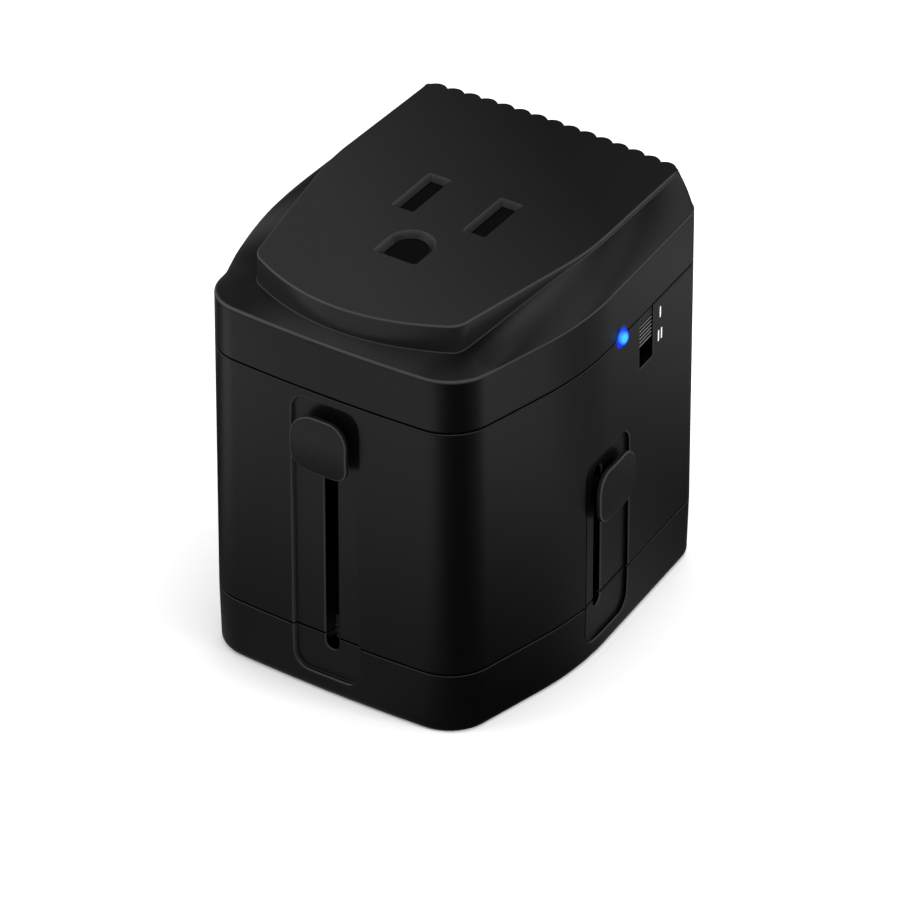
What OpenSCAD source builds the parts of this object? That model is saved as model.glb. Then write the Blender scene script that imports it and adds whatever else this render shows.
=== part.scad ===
// Travel voltage converter: a hand-sized block with a sloping outlet on top and three plugs that
// slide out of its underside. Millimetres, +Z up, front towards -Y, origin under the middle of the base.

/* [Body] */
// Depth between the middle of the front and the middle of the back
body_d = 65.7; // [62:0.1:80]
// Width of the front between its corners, before they are rounded
front_w = 45.4; // [44:0.1:50]
// Width across the bends of the two sides, before they are rounded
side_w = 53.8; // [52:0.1:62]
// Width of the back between its corners, before they are rounded
back_w = 42.4; // [41:0.1:48]
// Distance of the side bends behind the front
bend_from_front = 26.5; // [22:0.1:32]
// How far the front and back faces bow out between their corners
face_bow = 1.4; // [0.6:0.1:3]
// Radius of the two front corners
front_corner_r = 7.4; // [4:0.1:9]
// Radius of the side bends
side_bend_r = 54; // [30:1:70]
// Radius of the two back corners
back_corner_r = 5; // [3.2:0.1:7]
// Thickness of the outer walls
wall = 2; // [1.6:0.1:2.4]
// Thickness of the bottom cover's floor
floor_t = 2; // [1.6:0.1:3]
// Height of the seam between the bottom cover and the middle body
lower_seam_z = 10; // [9:0.1:13]
// Height of the seam between the middle body and the top cover
upper_seam_z = 50.9; // [50.2:0.1:54]
// Width of the open line at each seam
seam_gap = 0.2; // [0.1:0.05:0.4]
// Height of the lip that keeps two shells in line
lip_h = 1.5; // [1:0.1:3]
// Thickness of the lip
lip_t = 0.9; // [0.6:0.1:1.2]
// Inward slope of the bottom cover at its lower edge
foot_pull = 0.8; // [0.2:0.1:1.2]

/* [Top cover] */
// Height of the crease round the top cover
rim_z = 59.6; // [57:0.1:62]
// Height of the ledge in front of the outlet face
ledge_z = 60.5; // [60:0.1:62.5]
// Slope of the outlet face
face_tilt = 5.27; // [3:0.01:8]
// Height of the outlet face above the origin
face_z = 67.3; // [66:0.1:72]
// Thickness of the roof under the outlet face
roof_t = 2.2; // [1.6:0.1:3]
// Width of the ledge in front of the outlet face
front_ledge = 2.6; // [1.5:0.1:5]
// Length of the slope behind the outlet face
back_slope = 8; // [5:0.1:12]
// Distance of the outlet face's front corners behind the front
face_corner_back = 7.5; // [5:0.1:10]
// Distance of those corners inside the front width
face_corner_in = 4.6; // [2.5:0.1:7]
// Distance of the outlet face's side bends inside the side bends
face_side_in = 3.6; // [1.5:0.1:6]
// Distance of the outlet face's side bends behind the side bends
face_bend_back = 6.1; // [3:0.1:10]
// Radius of the outlet face's front corners
face_corner_r = 3.5; // [2:0.1:5]
// Step that stays visible under the outlet face where the shoulder meets it
foot_step = 0.5; // [0.4:0.05:1]
// Rounding of the outlet face's edge
face_edge = 0.3; // [0.1:0.05:0.35]
// Length over which the shoulder climbs from the ledge to the outlet face
shoulder_run = 27.3; // [20:0.1:34]
// Number of reeds on the back slope
reeds = 15; // [9:1:21]
// Depth of a reed
reed_depth = 0.6; // [0.2:0.05:1]

/* [Outlet] */
// Distance of the blade slots behind the front
outlet_from_front = 32.5; // [31:0.1:36]
// Distance between the two blade slots
blade_pitch = 12.7; // [12.7]
// Distance of the ground hole in front of the blade slots
ground_offset = 11.9; // [11.9]
// Width of a blade slot
blade_slot_w = 2.2; // [2:0.05:2.4]
// Length of a blade slot
blade_slot_l = 7.8; // [7.2:0.1:8.2]
// Width of a blade slot's mouth
blade_mouth_w = 4; // [3:0.1:4.4]
// Length of a blade slot's mouth
blade_mouth_l = 9.8; // [8.6:0.1:10.4]
// Half width of the ground hole
ground_r = 2.75; // [2.6:0.05:3]
// Half width of the ground hole's mouth
ground_mouth_r = 3.8; // [3.2:0.1:4.2]
// Depth of the sloping lead-ins
lead_in = 1.3; // [0.6:0.1:1.6]
// Depth of the contacts below the outlet face
contact_depth = 17; // [15:0.1:18]
// Thickness of the contact strip
contact_t = 0.8; // [0.5:0.1:1]

/* [Sliders] */
// Depth of the recesses that the knobs slide in
recess_depth = 1.6; // [1:0.1:2]
// Thickness of the wall behind a recess
recess_floor = 1.5; // [1.2:0.1:2]
// Height of the lower end of the recesses
recess_z = 2.7; // [2.3:0.1:3.2]
// Width of the front recess
front_recess_w = 12.4; // [11.4:0.1:14]
// Width of the side recesses
side_recess_w = 13.4; // [11.4:0.1:14]
// Radius of the recess corners
recess_r = 2.5; // [1:0.1:3]
// Room between a raised knob and the upper end of its recess
recess_room = 0.9; // [0.5:0.1:1.2]
// Distance of the side sliders behind the front
side_slider_from_front = 34.8; // [33:0.1:36]
// Width of a knob
knob_w = 10; // [8:0.1:11]
// Height of a knob
knob_h = 9.5; // [8:0.1:10]
// Radius of a knob's corners
knob_r = 2; // [1:0.1:3]
// How far a knob stands out of the wall
knob_proud = 2; // [1.2:0.1:3]
// Radius of a knob's domed face
knob_dome_r = 18; // [14:1:40]
// Width of the slots in the recesses
slot_w = 2.2; // [1.8:0.1:2.8]
// Height of the stems that pass through the slots
stem_h = 5.2; // [4:0.1:6]
// Width of the arms behind the slots
arm_w = 6; // [4.6:0.1:7]
// Height of the raised front knob
front_knob_z = 43.4; // [42.5:0.1:44]
// Height of the raised right knob
right_knob_z = 28.5; // [28:0.1:30]
// Height of the raised left knob
left_knob_z = 31.5; // [31.2:0.1:33]
// Travel of the front slider
front_travel = 33.6; // [32:0.1:33.8]
// Travel of the right slider
right_travel = 18; // [17:0.1:18.5]
// Travel of the left slider
left_travel = 23.2; // [22:0.1:23.4]
// Clearance between a stem and its slot
slide_gap = 0.1; // [0.05:0.01:0.2]
// Clearance between the sliding plugs and the fixed shells
plug_gap = 0.3; // [0.2:0.05:0.5]

/* [Plugs] */
// Distance of the retracted tips above the base
tip_inset = 0.6; // [0.3:0.1:1]
// Distance of the two round pins behind the front
eu_from_front = 11.2; // [11:0.1:11.6]
// Distance between the two round pins
eu_pitch = 19; // [19]
// Diameter of a round pin
eu_pin_d = 4; // [4:0.1:4.8]
// Length of a round pin
eu_pin_l = 19; // [19]
// Width of the round pins' plinth
eu_plinth_w = 27; // [25:0.1:27.4]
// Thickness of the round pins' plinth
eu_plinth_d = 8.4; // [7:0.1:8.8]
// Distance of the rectangular side pins behind the front
uk_from_front = 27.2; // [27:0.1:27.6]
// Distance between the rectangular side pins
uk_pitch = 22.2; // [22.2]
// Distance of the rectangular earth pin behind the side pins
uk_earth_offset = 22.2; // [22.2]
// Length of the rectangular earth pin
uk_earth_l = 22.7; // [22.7]
// Length of the rectangular side pins
uk_pin_l = 17.7; // [17.7]
// Wide side of a rectangular side pin
uk_pin_w = 6.35; // [6.35]
// Narrow side of the rectangular pins
uk_pin_t = 3.97; // [3.97]
// Wide side of the rectangular earth pin
uk_earth_w = 7.95; // [7.95]
// Length of the sleeve on a rectangular side pin
uk_sleeve_l = 9; // [7:0.1:9.5]
// Thickness of that sleeve
uk_sleeve_t = 0.4; // [0.3:0.05:0.6]
// Distance of the slanted blades behind the front
au_from_front = 38.2; // [38:0.1:38.6]
// Distance between the middles of the slanted blades
au_pitch = 13.72; // [13.72]
// Width of a slanted blade
au_blade_w = 6.35; // [6.35]
// Thickness of a slanted blade
au_blade_t = 1.63; // [1.63]
// Angle of a slanted blade
au_angle = 30; // [30]
// Thickness of the plates that carry the pins
plate_t = 3; // [2.6:0.1:3.4]

/* [Mode switch and lamp] */
// Distance of the mode switch behind the front
switch_from_front = 46.5; // [46:0.1:47.5]
// Width of the switch window
window_w = 4.5; // [4:0.1:5]
// Height of the lower end of the switch window
window_z = 42.15; // [42:0.05:42.5]
// Height of the switch knob
switch_knob_h = 5.1; // [4.6:0.1:5.2]
// Travel of the switch knob
switch_travel = 3.2; // [2.8:0.1:3.25]
// Clearance round the switch knob
switch_gap = 0.15; // [0.1:0.01:0.2]
// Number of ribs on the switch knob
switch_ribs = 6; // [4:1:7]
// Distance of the lamp behind the front
lamp_from_front = 38.8; // [38:0.1:39.2]
// Diameter of the lamp
lamp_d = 3; // [2.6:0.1:3.2]

/* [Electronics and screws] */
// Height of the circuit board's underside
board_z = 41; // [40:0.1:41.2]
// Thickness of the circuit board
board_t = 1.6; // [1:0.1:1.6]
// Diameter of the case screws
screw_d = 2.9; // [2.5:0.1:3]
// Diameter of the case screws' heads
screw_head_d = 5.2; // [4.8:0.1:5.4]
// Height of the case screws' heads
screw_head_h = 2.2; // [1.6:0.1:2.4]
// Distance of the screw heads inside the base
screw_head_z = 1.2; // [0.6:0.1:1.6]
// Length of the case screws below their heads
screw_l = 46.6; // [45:0.1:48]
// Radius of the screw posts
post_r = 3.1; // [2.9:0.1:3.2]
// Distance of the front screw posts behind the front
front_post_back = 8.35; // [8.2:0.05:8.6]
// Distance of the front screw posts from the middle
front_post_x = 18.3; // [18.1:0.1:18.6]
// Distance of the back screw posts ahead of the back
back_post_ahead = 6.35; // [6:0.05:6.8]
// Distance of the back screw posts from the middle
back_post_x = 16.5; // [16:0.1:16.8]
// Width of the heat sink
sink_w = 24; // [20:0.1:24.4]
// Height of the heat sink
sink_h = 18; // [16:0.1:19]
// Number of the heat sink's fins
sink_fins = 7; // [5:1:9]
// Diameter of the fuse
fuse_d = 5; // [5]
// Length of the fuse
fuse_l = 20; // [20]

/* [Hidden] */
$fn = 48;
// Clearance between fixed pieces that fit together
fit = 0.05;
// Overreach of a cutting shape past the face that it cuts
cut = 0.5;

front_y = -body_d / 2;
back_y = body_d / 2;
bend_y = front_y + bend_from_front;
side_slope = (side_w - back_w) / 2 / (back_y - face_bow - bend_y);
side_angle = atan(side_slope);
// Half width of the body behind its side bends
function side_x(y) = side_w / 2 - side_slope * (y - bend_y);
// Half width of the body ahead of its side bends
front_slope = (side_w - front_w) / 2 / (bend_y - front_y - face_bow / 2);
function wall_x(y) = y < bend_y ? side_w / 2 + front_slope * (y - bend_y) : side_x(y);
function clamp01(t) = max(0, min(1, t));

// Points on each arc, along the bowed front and along each reed
arc_steps = 8;
front_steps = 10;
reed_steps = 4;
// Least radius of a corner that is moved inwards
least_r = 0.3;

// Outlet face and the foot of the step round it
function face_height(y) = face_z + y * tan(face_tilt);
rise_y = front_y + face_corner_back;
function foot_height(y) = ledge_z
    + (face_height(y) - foot_step - ledge_z) * sin(90 * clamp01((y - rise_y) / shoulder_run));
face_back_y = back_y - face_bow - back_slope;
face_back_in = 0.4;
face_back_bow = 1.3 * face_bow;
face_bend_r = 40;
face_back_r = 1;
// Where the tangents of the outlet face's bowed front edge meet, allowing for its rounded corners
nose_trim = 0.575;
face_nose_y = front_y + 2 * front_ledge - face_corner_back + nose_trim;
// Fullness of the shoulder's profile: boxy beside the outlet, rounder towards the back
function fullness(y) = 4 - 2 * clamp01(y / face_back_y);

// Heights of the sliding plates, which stop on the floor
eu_plate_z = floor_t + front_travel + plug_gap;
au_plate_z = floor_t + right_travel + plug_gap;
uk_plate_z = floor_t + left_travel + plug_gap;
stop_y = recess_depth + recess_floor;

eu_y = front_y + eu_from_front;
uk_y = front_y + uk_from_front;
au_y = front_y + au_from_front;
earth_y = uk_y + uk_earth_offset;
side_slider_y = front_y + side_slider_from_front;
switch_y = front_y + switch_from_front;
lamp_y = front_y + lamp_from_front;
outlet_y = front_y + outlet_from_front;
board_top = board_z + board_t;

front_post_y = front_y + front_post_back;
back_post_y = back_y - back_post_ahead;
posts = [[front_post_x, front_post_y], [back_post_x, back_post_y],
         [-back_post_x, back_post_y], [-front_post_x, front_post_y]];
web_t = 1.6;
// The webs of the screw posts end in the middle of the side walls
function web_l(p) = wall_x(p.y) - abs(p.x) - wall / 2;
screw_room = 0.6;
screw_top = screw_head_z + screw_head_h + screw_l;
lip_gap = 0.1;
foot_chamfer = 1;

// Slider pads, stems and pin roots
pad_edge = 1.4;
stem_reach = 2.6;
knob_rest = 0.15;
pin_root = 10;
blade_root = 2;
uk_tip_z = tip_inset + uk_earth_l - uk_pin_l;

// Carrying bars of the sliding plugs
bar_w = 6;
bar_edge = 1;
eu_plate_w = eu_plinth_w + bar_edge;
eu_plate_d = eu_plinth_d + bar_edge;
uk_side_x = uk_pitch / 2 + uk_pin_w / 2 + bar_edge / 2;
au_plate_back = au_y + au_blade_w / 2 + bar_edge;
au_plate_front = side_slider_y - arm_w / 2;
au_plate_x = au_pitch / 2 + au_blade_w / 2;
au_plate_end = side_x(side_slider_y) - stop_y - arm_w / 2;
bus_y = (eu_y + eu_plate_d / 2 + uk_y - bar_w / 2) / 2;
bus_outwards = 1.4;
bus_x = uk_pitch / 2 + bus_outwards;
bus_w = 5;
bus_t = 0.8;

// Pieces on the board
sink_from_outlet = 14.3;
sink_y = outlet_y + sink_from_outlet;
sink_base_t = 2.5;
sink_d = 10;
sink_fin_t = 1.4;
sink_z = board_top + fit;
triac_w = 10.2;
triac_t = 4.5;
triac_h = 9;
triac_tab_t = 1.3;
triac_tab_h = 6;
triac_lift = 3.4;
triac_z = sink_z + triac_lift;
triac_back = sink_y - fit;
triac_lead_y = triac_back - triac_t / 2;
triac_lead_pitch = 2.54;
triac_screw_z = triac_z + triac_h + triac_tab_h / 2;
triac_screw_r = 1.4;
capacitor_size = [7, 16, 11.5];
capacitor_at = [-17.1, outlet_y + 4.3];
capacitor_lead_pitch = 10;
choke_r = 4.6;
choke_h = 9;
choke_edge = 1;
choke_dimple_r = 1.2;
choke_dimple = 1.4;
choke_x = -16.2;
choke_ahead = 12.7;
choke_at = [choke_x, outlet_y - choke_ahead];
cutout_r = 3.6;
cutout_h = 5.5;
cutout_step = 0.7;
cutout_x = -16;
// The cut-out stands in the middle between the capacitor and the back screw post
cutout_at = [cutout_x, (capacitor_at.y + capacitor_size.y / 2 + back_post_y - post_r) / 2];
fuse_at = [16, outlet_y - 9];
fuse_lift = 0.8;
fuse_z = board_top + fit + fuse_d / 2 + fuse_lift;
fuse_cap_l = 5.5;
fuse_cap_t = 0.25;
clip_w = 6.4;
clip_l = 4;
lead_t = 0.6;
lead_hole = 1.2;
board_room = 0.4;
board_inset = wall + lip_t + board_room;

// Contacts and their retainer, measured from the outlet face
blade_gap = 1.9;
blade_contact_w = 8;
ground_gap = 4.9;
ground_contact_w = 5.6;
contact_room = 0.8;
contact_top = roof_t + contact_room;
well_wall = 1.1;
well_room = 0.3;
tail_w = 4;
tail_l = 9;
retainer_t = 2;
retainer_w = 22;
retainer_post_x = 9;
retainer_post_r = 2;
retainer_screw_r = 1.1;
retainer_screw_l = 8;
retainer_z = -contact_depth - contact_t - fit - retainer_t;
retainer_front = -ground_offset - ground_contact_w / 2 - 2 * well_wall;
retainer_back = blade_contact_w / 2 + 2 * well_wall;

// Switch and lamp, measured along the wall's inward normal
switch_knob_z = upper_seam_z - seam_gap / 2 - switch_gap - switch_knob_h / 2;
switch_body_back = 1.3;
switch_body_y = wall + lip_t + switch_body_back;
switch_body_size = [8, 5, 7.7];
switch_stem_w = 2.4;
switch_stem_h = 2.6;
switch_sunk = 0.25;
rib_depth = 0.5;
rib_share = 0.25;
lamp_proud = 0.5;
lamp_flange_back = 0.6;
lamp_flange_edge = 0.5;
lamp_flange_y = wall + lip_t + lamp_flange_back;
lamp_lead_back = 2;
lamp_lead_y = lamp_flange_y + lamp_lead_back;
lamp_lead_pitch = 2.54;

// Outlines

function unit(v) = v / norm(v);
function mirrored(p) = [-p.x, p.y];
function edge_normal(a, b) = let (t = unit(b - a)) [t.y, -t.x];
// The corner v between a and b, with both of its edges moved inwards by d
function moved_in(a, v, b, d) =
    let (m = edge_normal(a, v), n = edge_normal(v, b)) v - d * (m + n) / (1 + m * n);
// The arc that rounds the corner v between a and b
function arc(a, v, b, r, steps) =
    let (p = unit(a - v), q = unit(b - v), half = acos(p * q) / 2,
         c = v + unit(p + q) * r / sin(half), s = v + p * r / tan(half) - c,
         start = atan2(s.y, s.x), turn = 180 - 2 * half)
    [for (i = [0:steps]) c + r * [cos(start + turn * i / steps), sin(start + turn * i / steps)]];
// Inner points of a bowed edge from e to its mirror image, with its tangents meeting at c
function bowed(e, c, n) = [for (i = [1:n - 1])
    let (t = i / n) (1 - t) * (1 - t) * e + 2 * t * (1 - t) * c + t * t * mirrored(e)];
function scallop(i, steps) = let (f = (i % steps) / steps) 4 * f * (1 - f);

// A symmetric outline through the front middle, front corner, side bend, back corner and back middle,
// moved inwards by d, counter-clockwise, with reeds of the given depth on its back edge
function outline(v, r, d, reed) =
    let (w = [moved_in(mirrored(v[1]), v[0], v[1], d), moved_in(v[0], v[1], v[2], d),
              moved_in(v[1], v[2], v[3], d), moved_in(v[2], v[3], v[4], d),
              moved_in(v[3], v[4], mirrored(v[3]), d)],
         right = [for (i = [1:3]) each arc(w[i - 1], w[i], w[i + 1], max(r[i - 1] - d, least_r), arc_steps)],
         count = len(right), back_steps = reeds * reed_steps,
         back = bowed(right[count - 1], w[4], back_steps),
         front = bowed(mirrored(right[0]), w[0], front_steps))
    concat(right, [for (i = [0:len(back) - 1]) back[i] + [0, reed * scallop(i + 1, reed_steps)]],
           [for (i = [count - 1:-1:0]) mirrored(right[i])], front);

function body_outline(d) =
    outline([[0, front_y - face_bow / 2], [front_w / 2, front_y + face_bow / 2], [side_w / 2, bend_y],
             [back_w / 2, back_y - face_bow / 2], [0, back_y + face_bow / 2]],
            [front_corner_r, side_bend_r, back_corner_r], d, 0);

function face_outline(d, reed) =
    outline([[0, face_nose_y],
             [front_w / 2 - face_corner_in, front_y + face_corner_back],
             [side_w / 2 - face_side_in, bend_y + face_bend_back],
             [side_x(face_back_y) - face_back_in, face_back_y], [0, face_back_y + face_back_bow]],
            [face_corner_r, face_bend_r, face_back_r], d, reed);

function at_height(outline, z) = [for (p = outline) [p.x, p.y, z]];
function on_face(outline, drop) = [for (p = outline) [p.x, p.y, face_height(p.y) - drop]];
// Points between the rim outline and the foot outline, on a profile that starts upright and ends level
function shoulder(rim, foot, z, drop, angle) =
    [for (i = [0:len(rim) - 1])
        let (p = rim[i], q = foot[i], n = 2 / fullness(p.y),
             h = 1 - pow(cos(angle), n), v = pow(sin(angle), n))
        [p.x + (q.x - p.x) * h, p.y + (q.y - p.y) * h, z + (foot_height(q.y) - drop - z) * v]];

// Closed solid through a stack of rings with equal numbers of points
module loft(rings) {
    n = len(rings[0]);
    top = len(rings) - 1;
    sides = [for (j = [0:top - 1], i = [0:n - 1])
        let (a = j * n + i, b = j * n + (i + 1) % n) each [[a, a + n, b + n], [a, b + n, b]]];
    polyhedron([for (ring = rings) each ring],
               concat([[for (i = [0:n - 1]) i]], sides, [[for (i = [n - 1:-1:0]) top * n + i]]));
}

module slab(d, z, h) {
    translate([0, 0, z]) linear_extrude(h) polygon(body_outline(d));
}

module shell_ring(outer, inner, z, h) {
    difference() {
        slab(outer, z, h);
        slab(inner, z - cut, h + 2 * cut);
    }
}

// Frames on the outer faces: x along the face to the right, y into the body, z up

module front_face() {
    translate([0, front_y, 0]) children();
}

module right_face(y) {
    translate([side_x(y), y, 0]) rotate(90 + side_angle) children();
}

module left_face(y) {
    mirror([1, 0, 0]) right_face(y) children();
}

module on_outlet() {
    translate([0, outlet_y, face_height(outlet_y)]) rotate([face_tilt, 0, 0]) children();
}

module box(x, y, z) {
    translate([x[0], y[0], z[0]]) cube([x[1] - x[0], y[1] - y[0], z[1] - z[0]]);
}

module rounded_rect(w, h, r) {
    square([w - 2 * r, h], center = true);
    square([w, h - 2 * r], center = true);
    for (x = [-1, 1], y = [-1, 1]) translate([x * (w / 2 - r), y * (h / 2 - r)]) circle(r);
}

module slot_shape(w, h) {
    square([w, h - w], center = true);
    for (y = [-1, 1]) translate([0, y * (h - w) / 2]) circle(w / 2);
}

// A rounded rectangle in the face's plane, from y0 to y1 below it
module face_block(w, z0, z1, r, y0, y1) {
    translate([0, y1, (z0 + z1) / 2]) rotate([90, 0, 0]) linear_extrude(y1 - y0)
        rounded_rect(w, z1 - z0, r);
}

// Slider parts, in a face's frame

function recess_top(knob_z) = knob_z + knob_h / 2 + recess_room;

module slider_pad(recess_w, z0, z1) {
    box([-recess_w / 2 - pad_edge, recess_w / 2 + pad_edge], [wall / 2, stop_y], [z0, z1]);
}

module slider_cut(recess_w, knob_z, travel) {
    face_block(recess_w, recess_z, recess_top(knob_z), recess_r, -2 * cut - face_bow, recess_depth);
    slot_h = travel + stem_h + 2 * plug_gap;
    translate([0, stop_y + cut, knob_z - travel / 2]) rotate([90, 0, 0]) linear_extrude(stop_y + cut)
        slot_shape(slot_w, slot_h);
}

module slider_knob(knob_z) {
    stem_w = slot_w - 2 * slide_gap;
    intersection() {
        face_block(knob_w, knob_z - knob_h / 2, knob_z + knob_h / 2, knob_r, -knob_proud,
                   recess_depth - knob_rest);
        translate([0, knob_dome_r - knob_proud, knob_z]) sphere(knob_dome_r);
    }
    stem_end = stop_y + plug_gap + stem_reach;
    translate([0, stem_end, knob_z]) rotate([90, 0, 0])
        linear_extrude(stem_end - recess_depth + knob_rest + cut) slot_shape(stem_w, stem_h);
}

// The arm that takes the knob's stem, from the plate up to the stem
module slider_arm(knob_z, z0, reach) {
    stem_w = slot_w - 2 * slide_gap;
    difference() {
        box([-arm_w / 2, arm_w / 2], [stop_y + plug_gap, reach], [z0, knob_z + stem_h / 2 + bar_edge]);
        box([-stem_w / 2 - fit, stem_w / 2 + fit], [stop_y, stop_y + plug_gap + stem_reach + fit],
            [knob_z - stem_h / 2 - fit, knob_z + stem_h / 2 + fit]);
    }
}

// Shells

module top_outer() {
    rim = body_outline(0);
    foot = face_outline(0, reed_depth);
    loft([at_height(rim, upper_seam_z + seam_gap / 2),
          for (angle = [0:11.25:90]) shoulder(rim, foot, rim_z, 0, angle),
          on_face(foot, face_edge), on_face(face_outline(face_edge, reed_depth), 0)]);
}

module top_inner() {
    rim = body_outline(wall);
    foot = face_outline(wall, 0);
    loft([at_height(rim, upper_seam_z - cut),
          for (angle = [0:22.5:90]) shoulder(rim, foot, rim_z - wall, wall, angle), on_face(foot, roof_t)]);
}

module ground_outline(r) {
    circle(r);
    translate([-r, -r]) square([2 * r, r]);
}

// A pocket from the underside, for a contact that is w by l
module well(x, y, w, l, wall_t) {
    room = 2 * well_room + 2 * wall_t;
    translate([x, y, -contact_depth - contact_t]) linear_extrude(contact_depth + contact_t - roof_t / 2)
        square([w + room, l + room], center = true);
}

module contact_wells(wall_t) {
    for (x = [-1, 1]) well(x * blade_pitch / 2, 0, blade_gap + 2 * contact_t, blade_contact_w, wall_t);
    well(0, -ground_offset, ground_gap + 2 * contact_t, ground_contact_w, wall_t);
}

module retainer_posts(r) {
    for (x = [-1, 1])
        translate([x * retainer_post_x, -ground_offset, -contact_depth - contact_t])
            cylinder(r = r, h = contact_depth + contact_t - roof_t / 2);
}

module outlet_holes() {
    for (x = [-1, 1]) translate([x * blade_pitch / 2, 0, 0]) {
        translate([0, 0, -roof_t - cut]) linear_extrude(roof_t + 2 * cut)
            square([blade_slot_w, blade_slot_l], center = true);
        translate([0, 0, -lead_in])
            linear_extrude(lead_in, slices = 1,
                           scale = [blade_mouth_w / blade_slot_w, blade_mouth_l / blade_slot_l])
                square([blade_slot_w, blade_slot_l], center = true);
    }
    translate([0, -ground_offset, 0]) {
        translate([0, 0, -roof_t - cut]) linear_extrude(roof_t + 2 * cut) ground_outline(ground_r);
        translate([0, 0, -lead_in]) cylinder(r1 = ground_r, r2 = ground_mouth_r, h = lead_in);
        translate([0, 0, -lead_in]) linear_extrude(lead_in, scale = ground_mouth_r / ground_r, slices = 1)
            translate([-ground_r, -ground_r]) square([2 * ground_r, ground_r]);
    }
}

module well_pockets() {
    difference() {
        contact_wells(0);
        translate([0, 0, -roof_t]) linear_extrude(roof_t) square(4 * blade_pitch, center = true);
    }
}

module lamp_bore() {
    right_face(lamp_y) translate([0, -wall, upper_seam_z]) rotate([-90, 0, 0])
        cylinder(d = lamp_d + 2 * fit, h = 3 * wall + lip_t);
}

// The screw bosses end inside the shell
function boss_top(p) = p.y < 0 ? ledge_z - wall / 2 : face_height(p.y) - 2 * roof_t;

module top_cover() {
    color([0.13, 0.13, 0.14]) difference() {
        union() {
            difference() {
                top_outer();
                top_inner();
            }
            on_outlet() contact_wells(well_wall);
            on_outlet() retainer_posts(retainer_post_r);
            for (p = posts) let (z0 = board_top + fit, z1 = boss_top(p)) translate([p.x, p.y, z0])
                cylinder(r = post_r, h = z1 - z0);
        }
        on_outlet() well_pockets();
        on_outlet() outlet_holes();
        on_outlet() translate([0, 0, -contact_depth - contact_t - cut]) retainer_pilots();
        for (p = posts) translate([p.x, p.y, board_top]) cylinder(
            d = screw_d + 2 * fit, h = screw_top + 2 * fit - board_top);
        lamp_bore();
    }
}

module retainer_pilots() {
    for (x = [-1, 1]) translate([x * retainer_post_x, -ground_offset, 0])
        cylinder(r = retainer_screw_r + fit, h = retainer_screw_l + cut);
}

module screw_posts(z0, z1) {
    translate([0, 0, z0]) linear_extrude(z1 - z0) for (p = posts) translate([p.x, p.y]) {
        circle(post_r);
        mirror([p.x < 0 ? 1 : 0, 0]) translate([0, -web_t / 2]) square([web_l(p), web_t]);
    }
}

module screw_holes(d, z0, z1) {
    for (p = posts) translate([p.x, p.y, z0]) cylinder(d = d, h = z1 - z0);
}

module slider_cuts() {
    front_face() slider_cut(front_recess_w, front_knob_z, front_travel);
    right_face(side_slider_y) slider_cut(side_recess_w, right_knob_z, right_travel);
    left_face(side_slider_y) slider_cut(side_recess_w, left_knob_z, left_travel);
}

module mid_body() {
    z0 = lower_seam_z + seam_gap / 2;
    z1 = upper_seam_z - seam_gap / 2;
    color([0.12, 0.12, 0.13]) difference() {
        union() {
            shell_ring(0, wall, z0, z1 - z0);
            shell_ring(wall / 2, wall + lip_t, z1 - 2 * lip_h, 2 * lip_h);
            shell_ring(wall + lip_gap, wall + lip_t, z1 - cut, lip_h + cut);
            front_face() slider_pad(front_recess_w, z0, recess_top(front_knob_z) + pad_edge / 2);
            right_face(side_slider_y) slider_pad(side_recess_w, z0, recess_top(right_knob_z) + pad_edge);
            left_face(side_slider_y) slider_pad(side_recess_w, z0, recess_top(left_knob_z) + pad_edge);
            screw_posts(z0, board_z - fit);
        }
        slider_cuts();
        screw_holes(screw_d + screw_room, 0, board_z);
        screw_holes(2 * post_r + 2 * lip_gap, board_z, upper_seam_z + 2 * lip_h);
        right_face(switch_y) box([-window_w / 2, window_w / 2], [-wall, wall + lip_t + cut],
                                 [window_z, upper_seam_z + 2 * lip_h]);
        lamp_bore();
    }
}

// Plug openings in the floor, wider than the plugs by the plug gap
module plug_openings() {
    room = 2 * plug_gap;
    linear_extrude(2 * floor_t + 2 * cut, center = true) {
        translate([0, eu_y]) square([eu_plinth_w + room, eu_plinth_d + room], center = true);
        for (x = [-1, 1]) {
            translate([x * uk_pitch / 2, uk_y])
                square([uk_pin_w + room, uk_pin_t + room], center = true);
            translate([x * au_pitch / 2, au_y]) rotate(x * au_angle)
                square([au_blade_t + room, au_blade_w + room], center = true);
        }
        translate([0, earth_y]) square([uk_pin_t + room, uk_earth_w + room], center = true);
    }
}

module bottom_cover() {
    z1 = lower_seam_z - seam_gap / 2;
    seat_z = screw_head_z + screw_head_h;
    color([0.12, 0.12, 0.13]) difference() {
        union() {
            difference() {
                loft([at_height(body_outline(foot_pull), 0),
                      at_height(body_outline(foot_pull / 3), foot_chamfer),
                      at_height(body_outline(0), z1)]);
                slab(wall, floor_t, lower_seam_z);
            }
            difference() {
                union() {
                    shell_ring(wall / 2, wall + lip_t, z1 - 2 * lip_h, 2 * lip_h);
                    shell_ring(wall + lip_gap, wall + lip_t, z1 - cut, lip_h + cut);
                }
                lip_breaks();
            }
            front_face() slider_pad(front_recess_w, floor_t / 2, z1);
            right_face(side_slider_y) slider_pad(side_recess_w, floor_t / 2, z1);
            left_face(side_slider_y) slider_pad(side_recess_w, floor_t / 2, z1);
            screw_posts(floor_t / 2, z1);
        }
        slider_cuts();
        plug_openings();
        screw_holes(screw_head_d + screw_room, -cut, seat_z);
        screw_holes(screw_d + screw_room, 0, lower_seam_z);
    }
}

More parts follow.
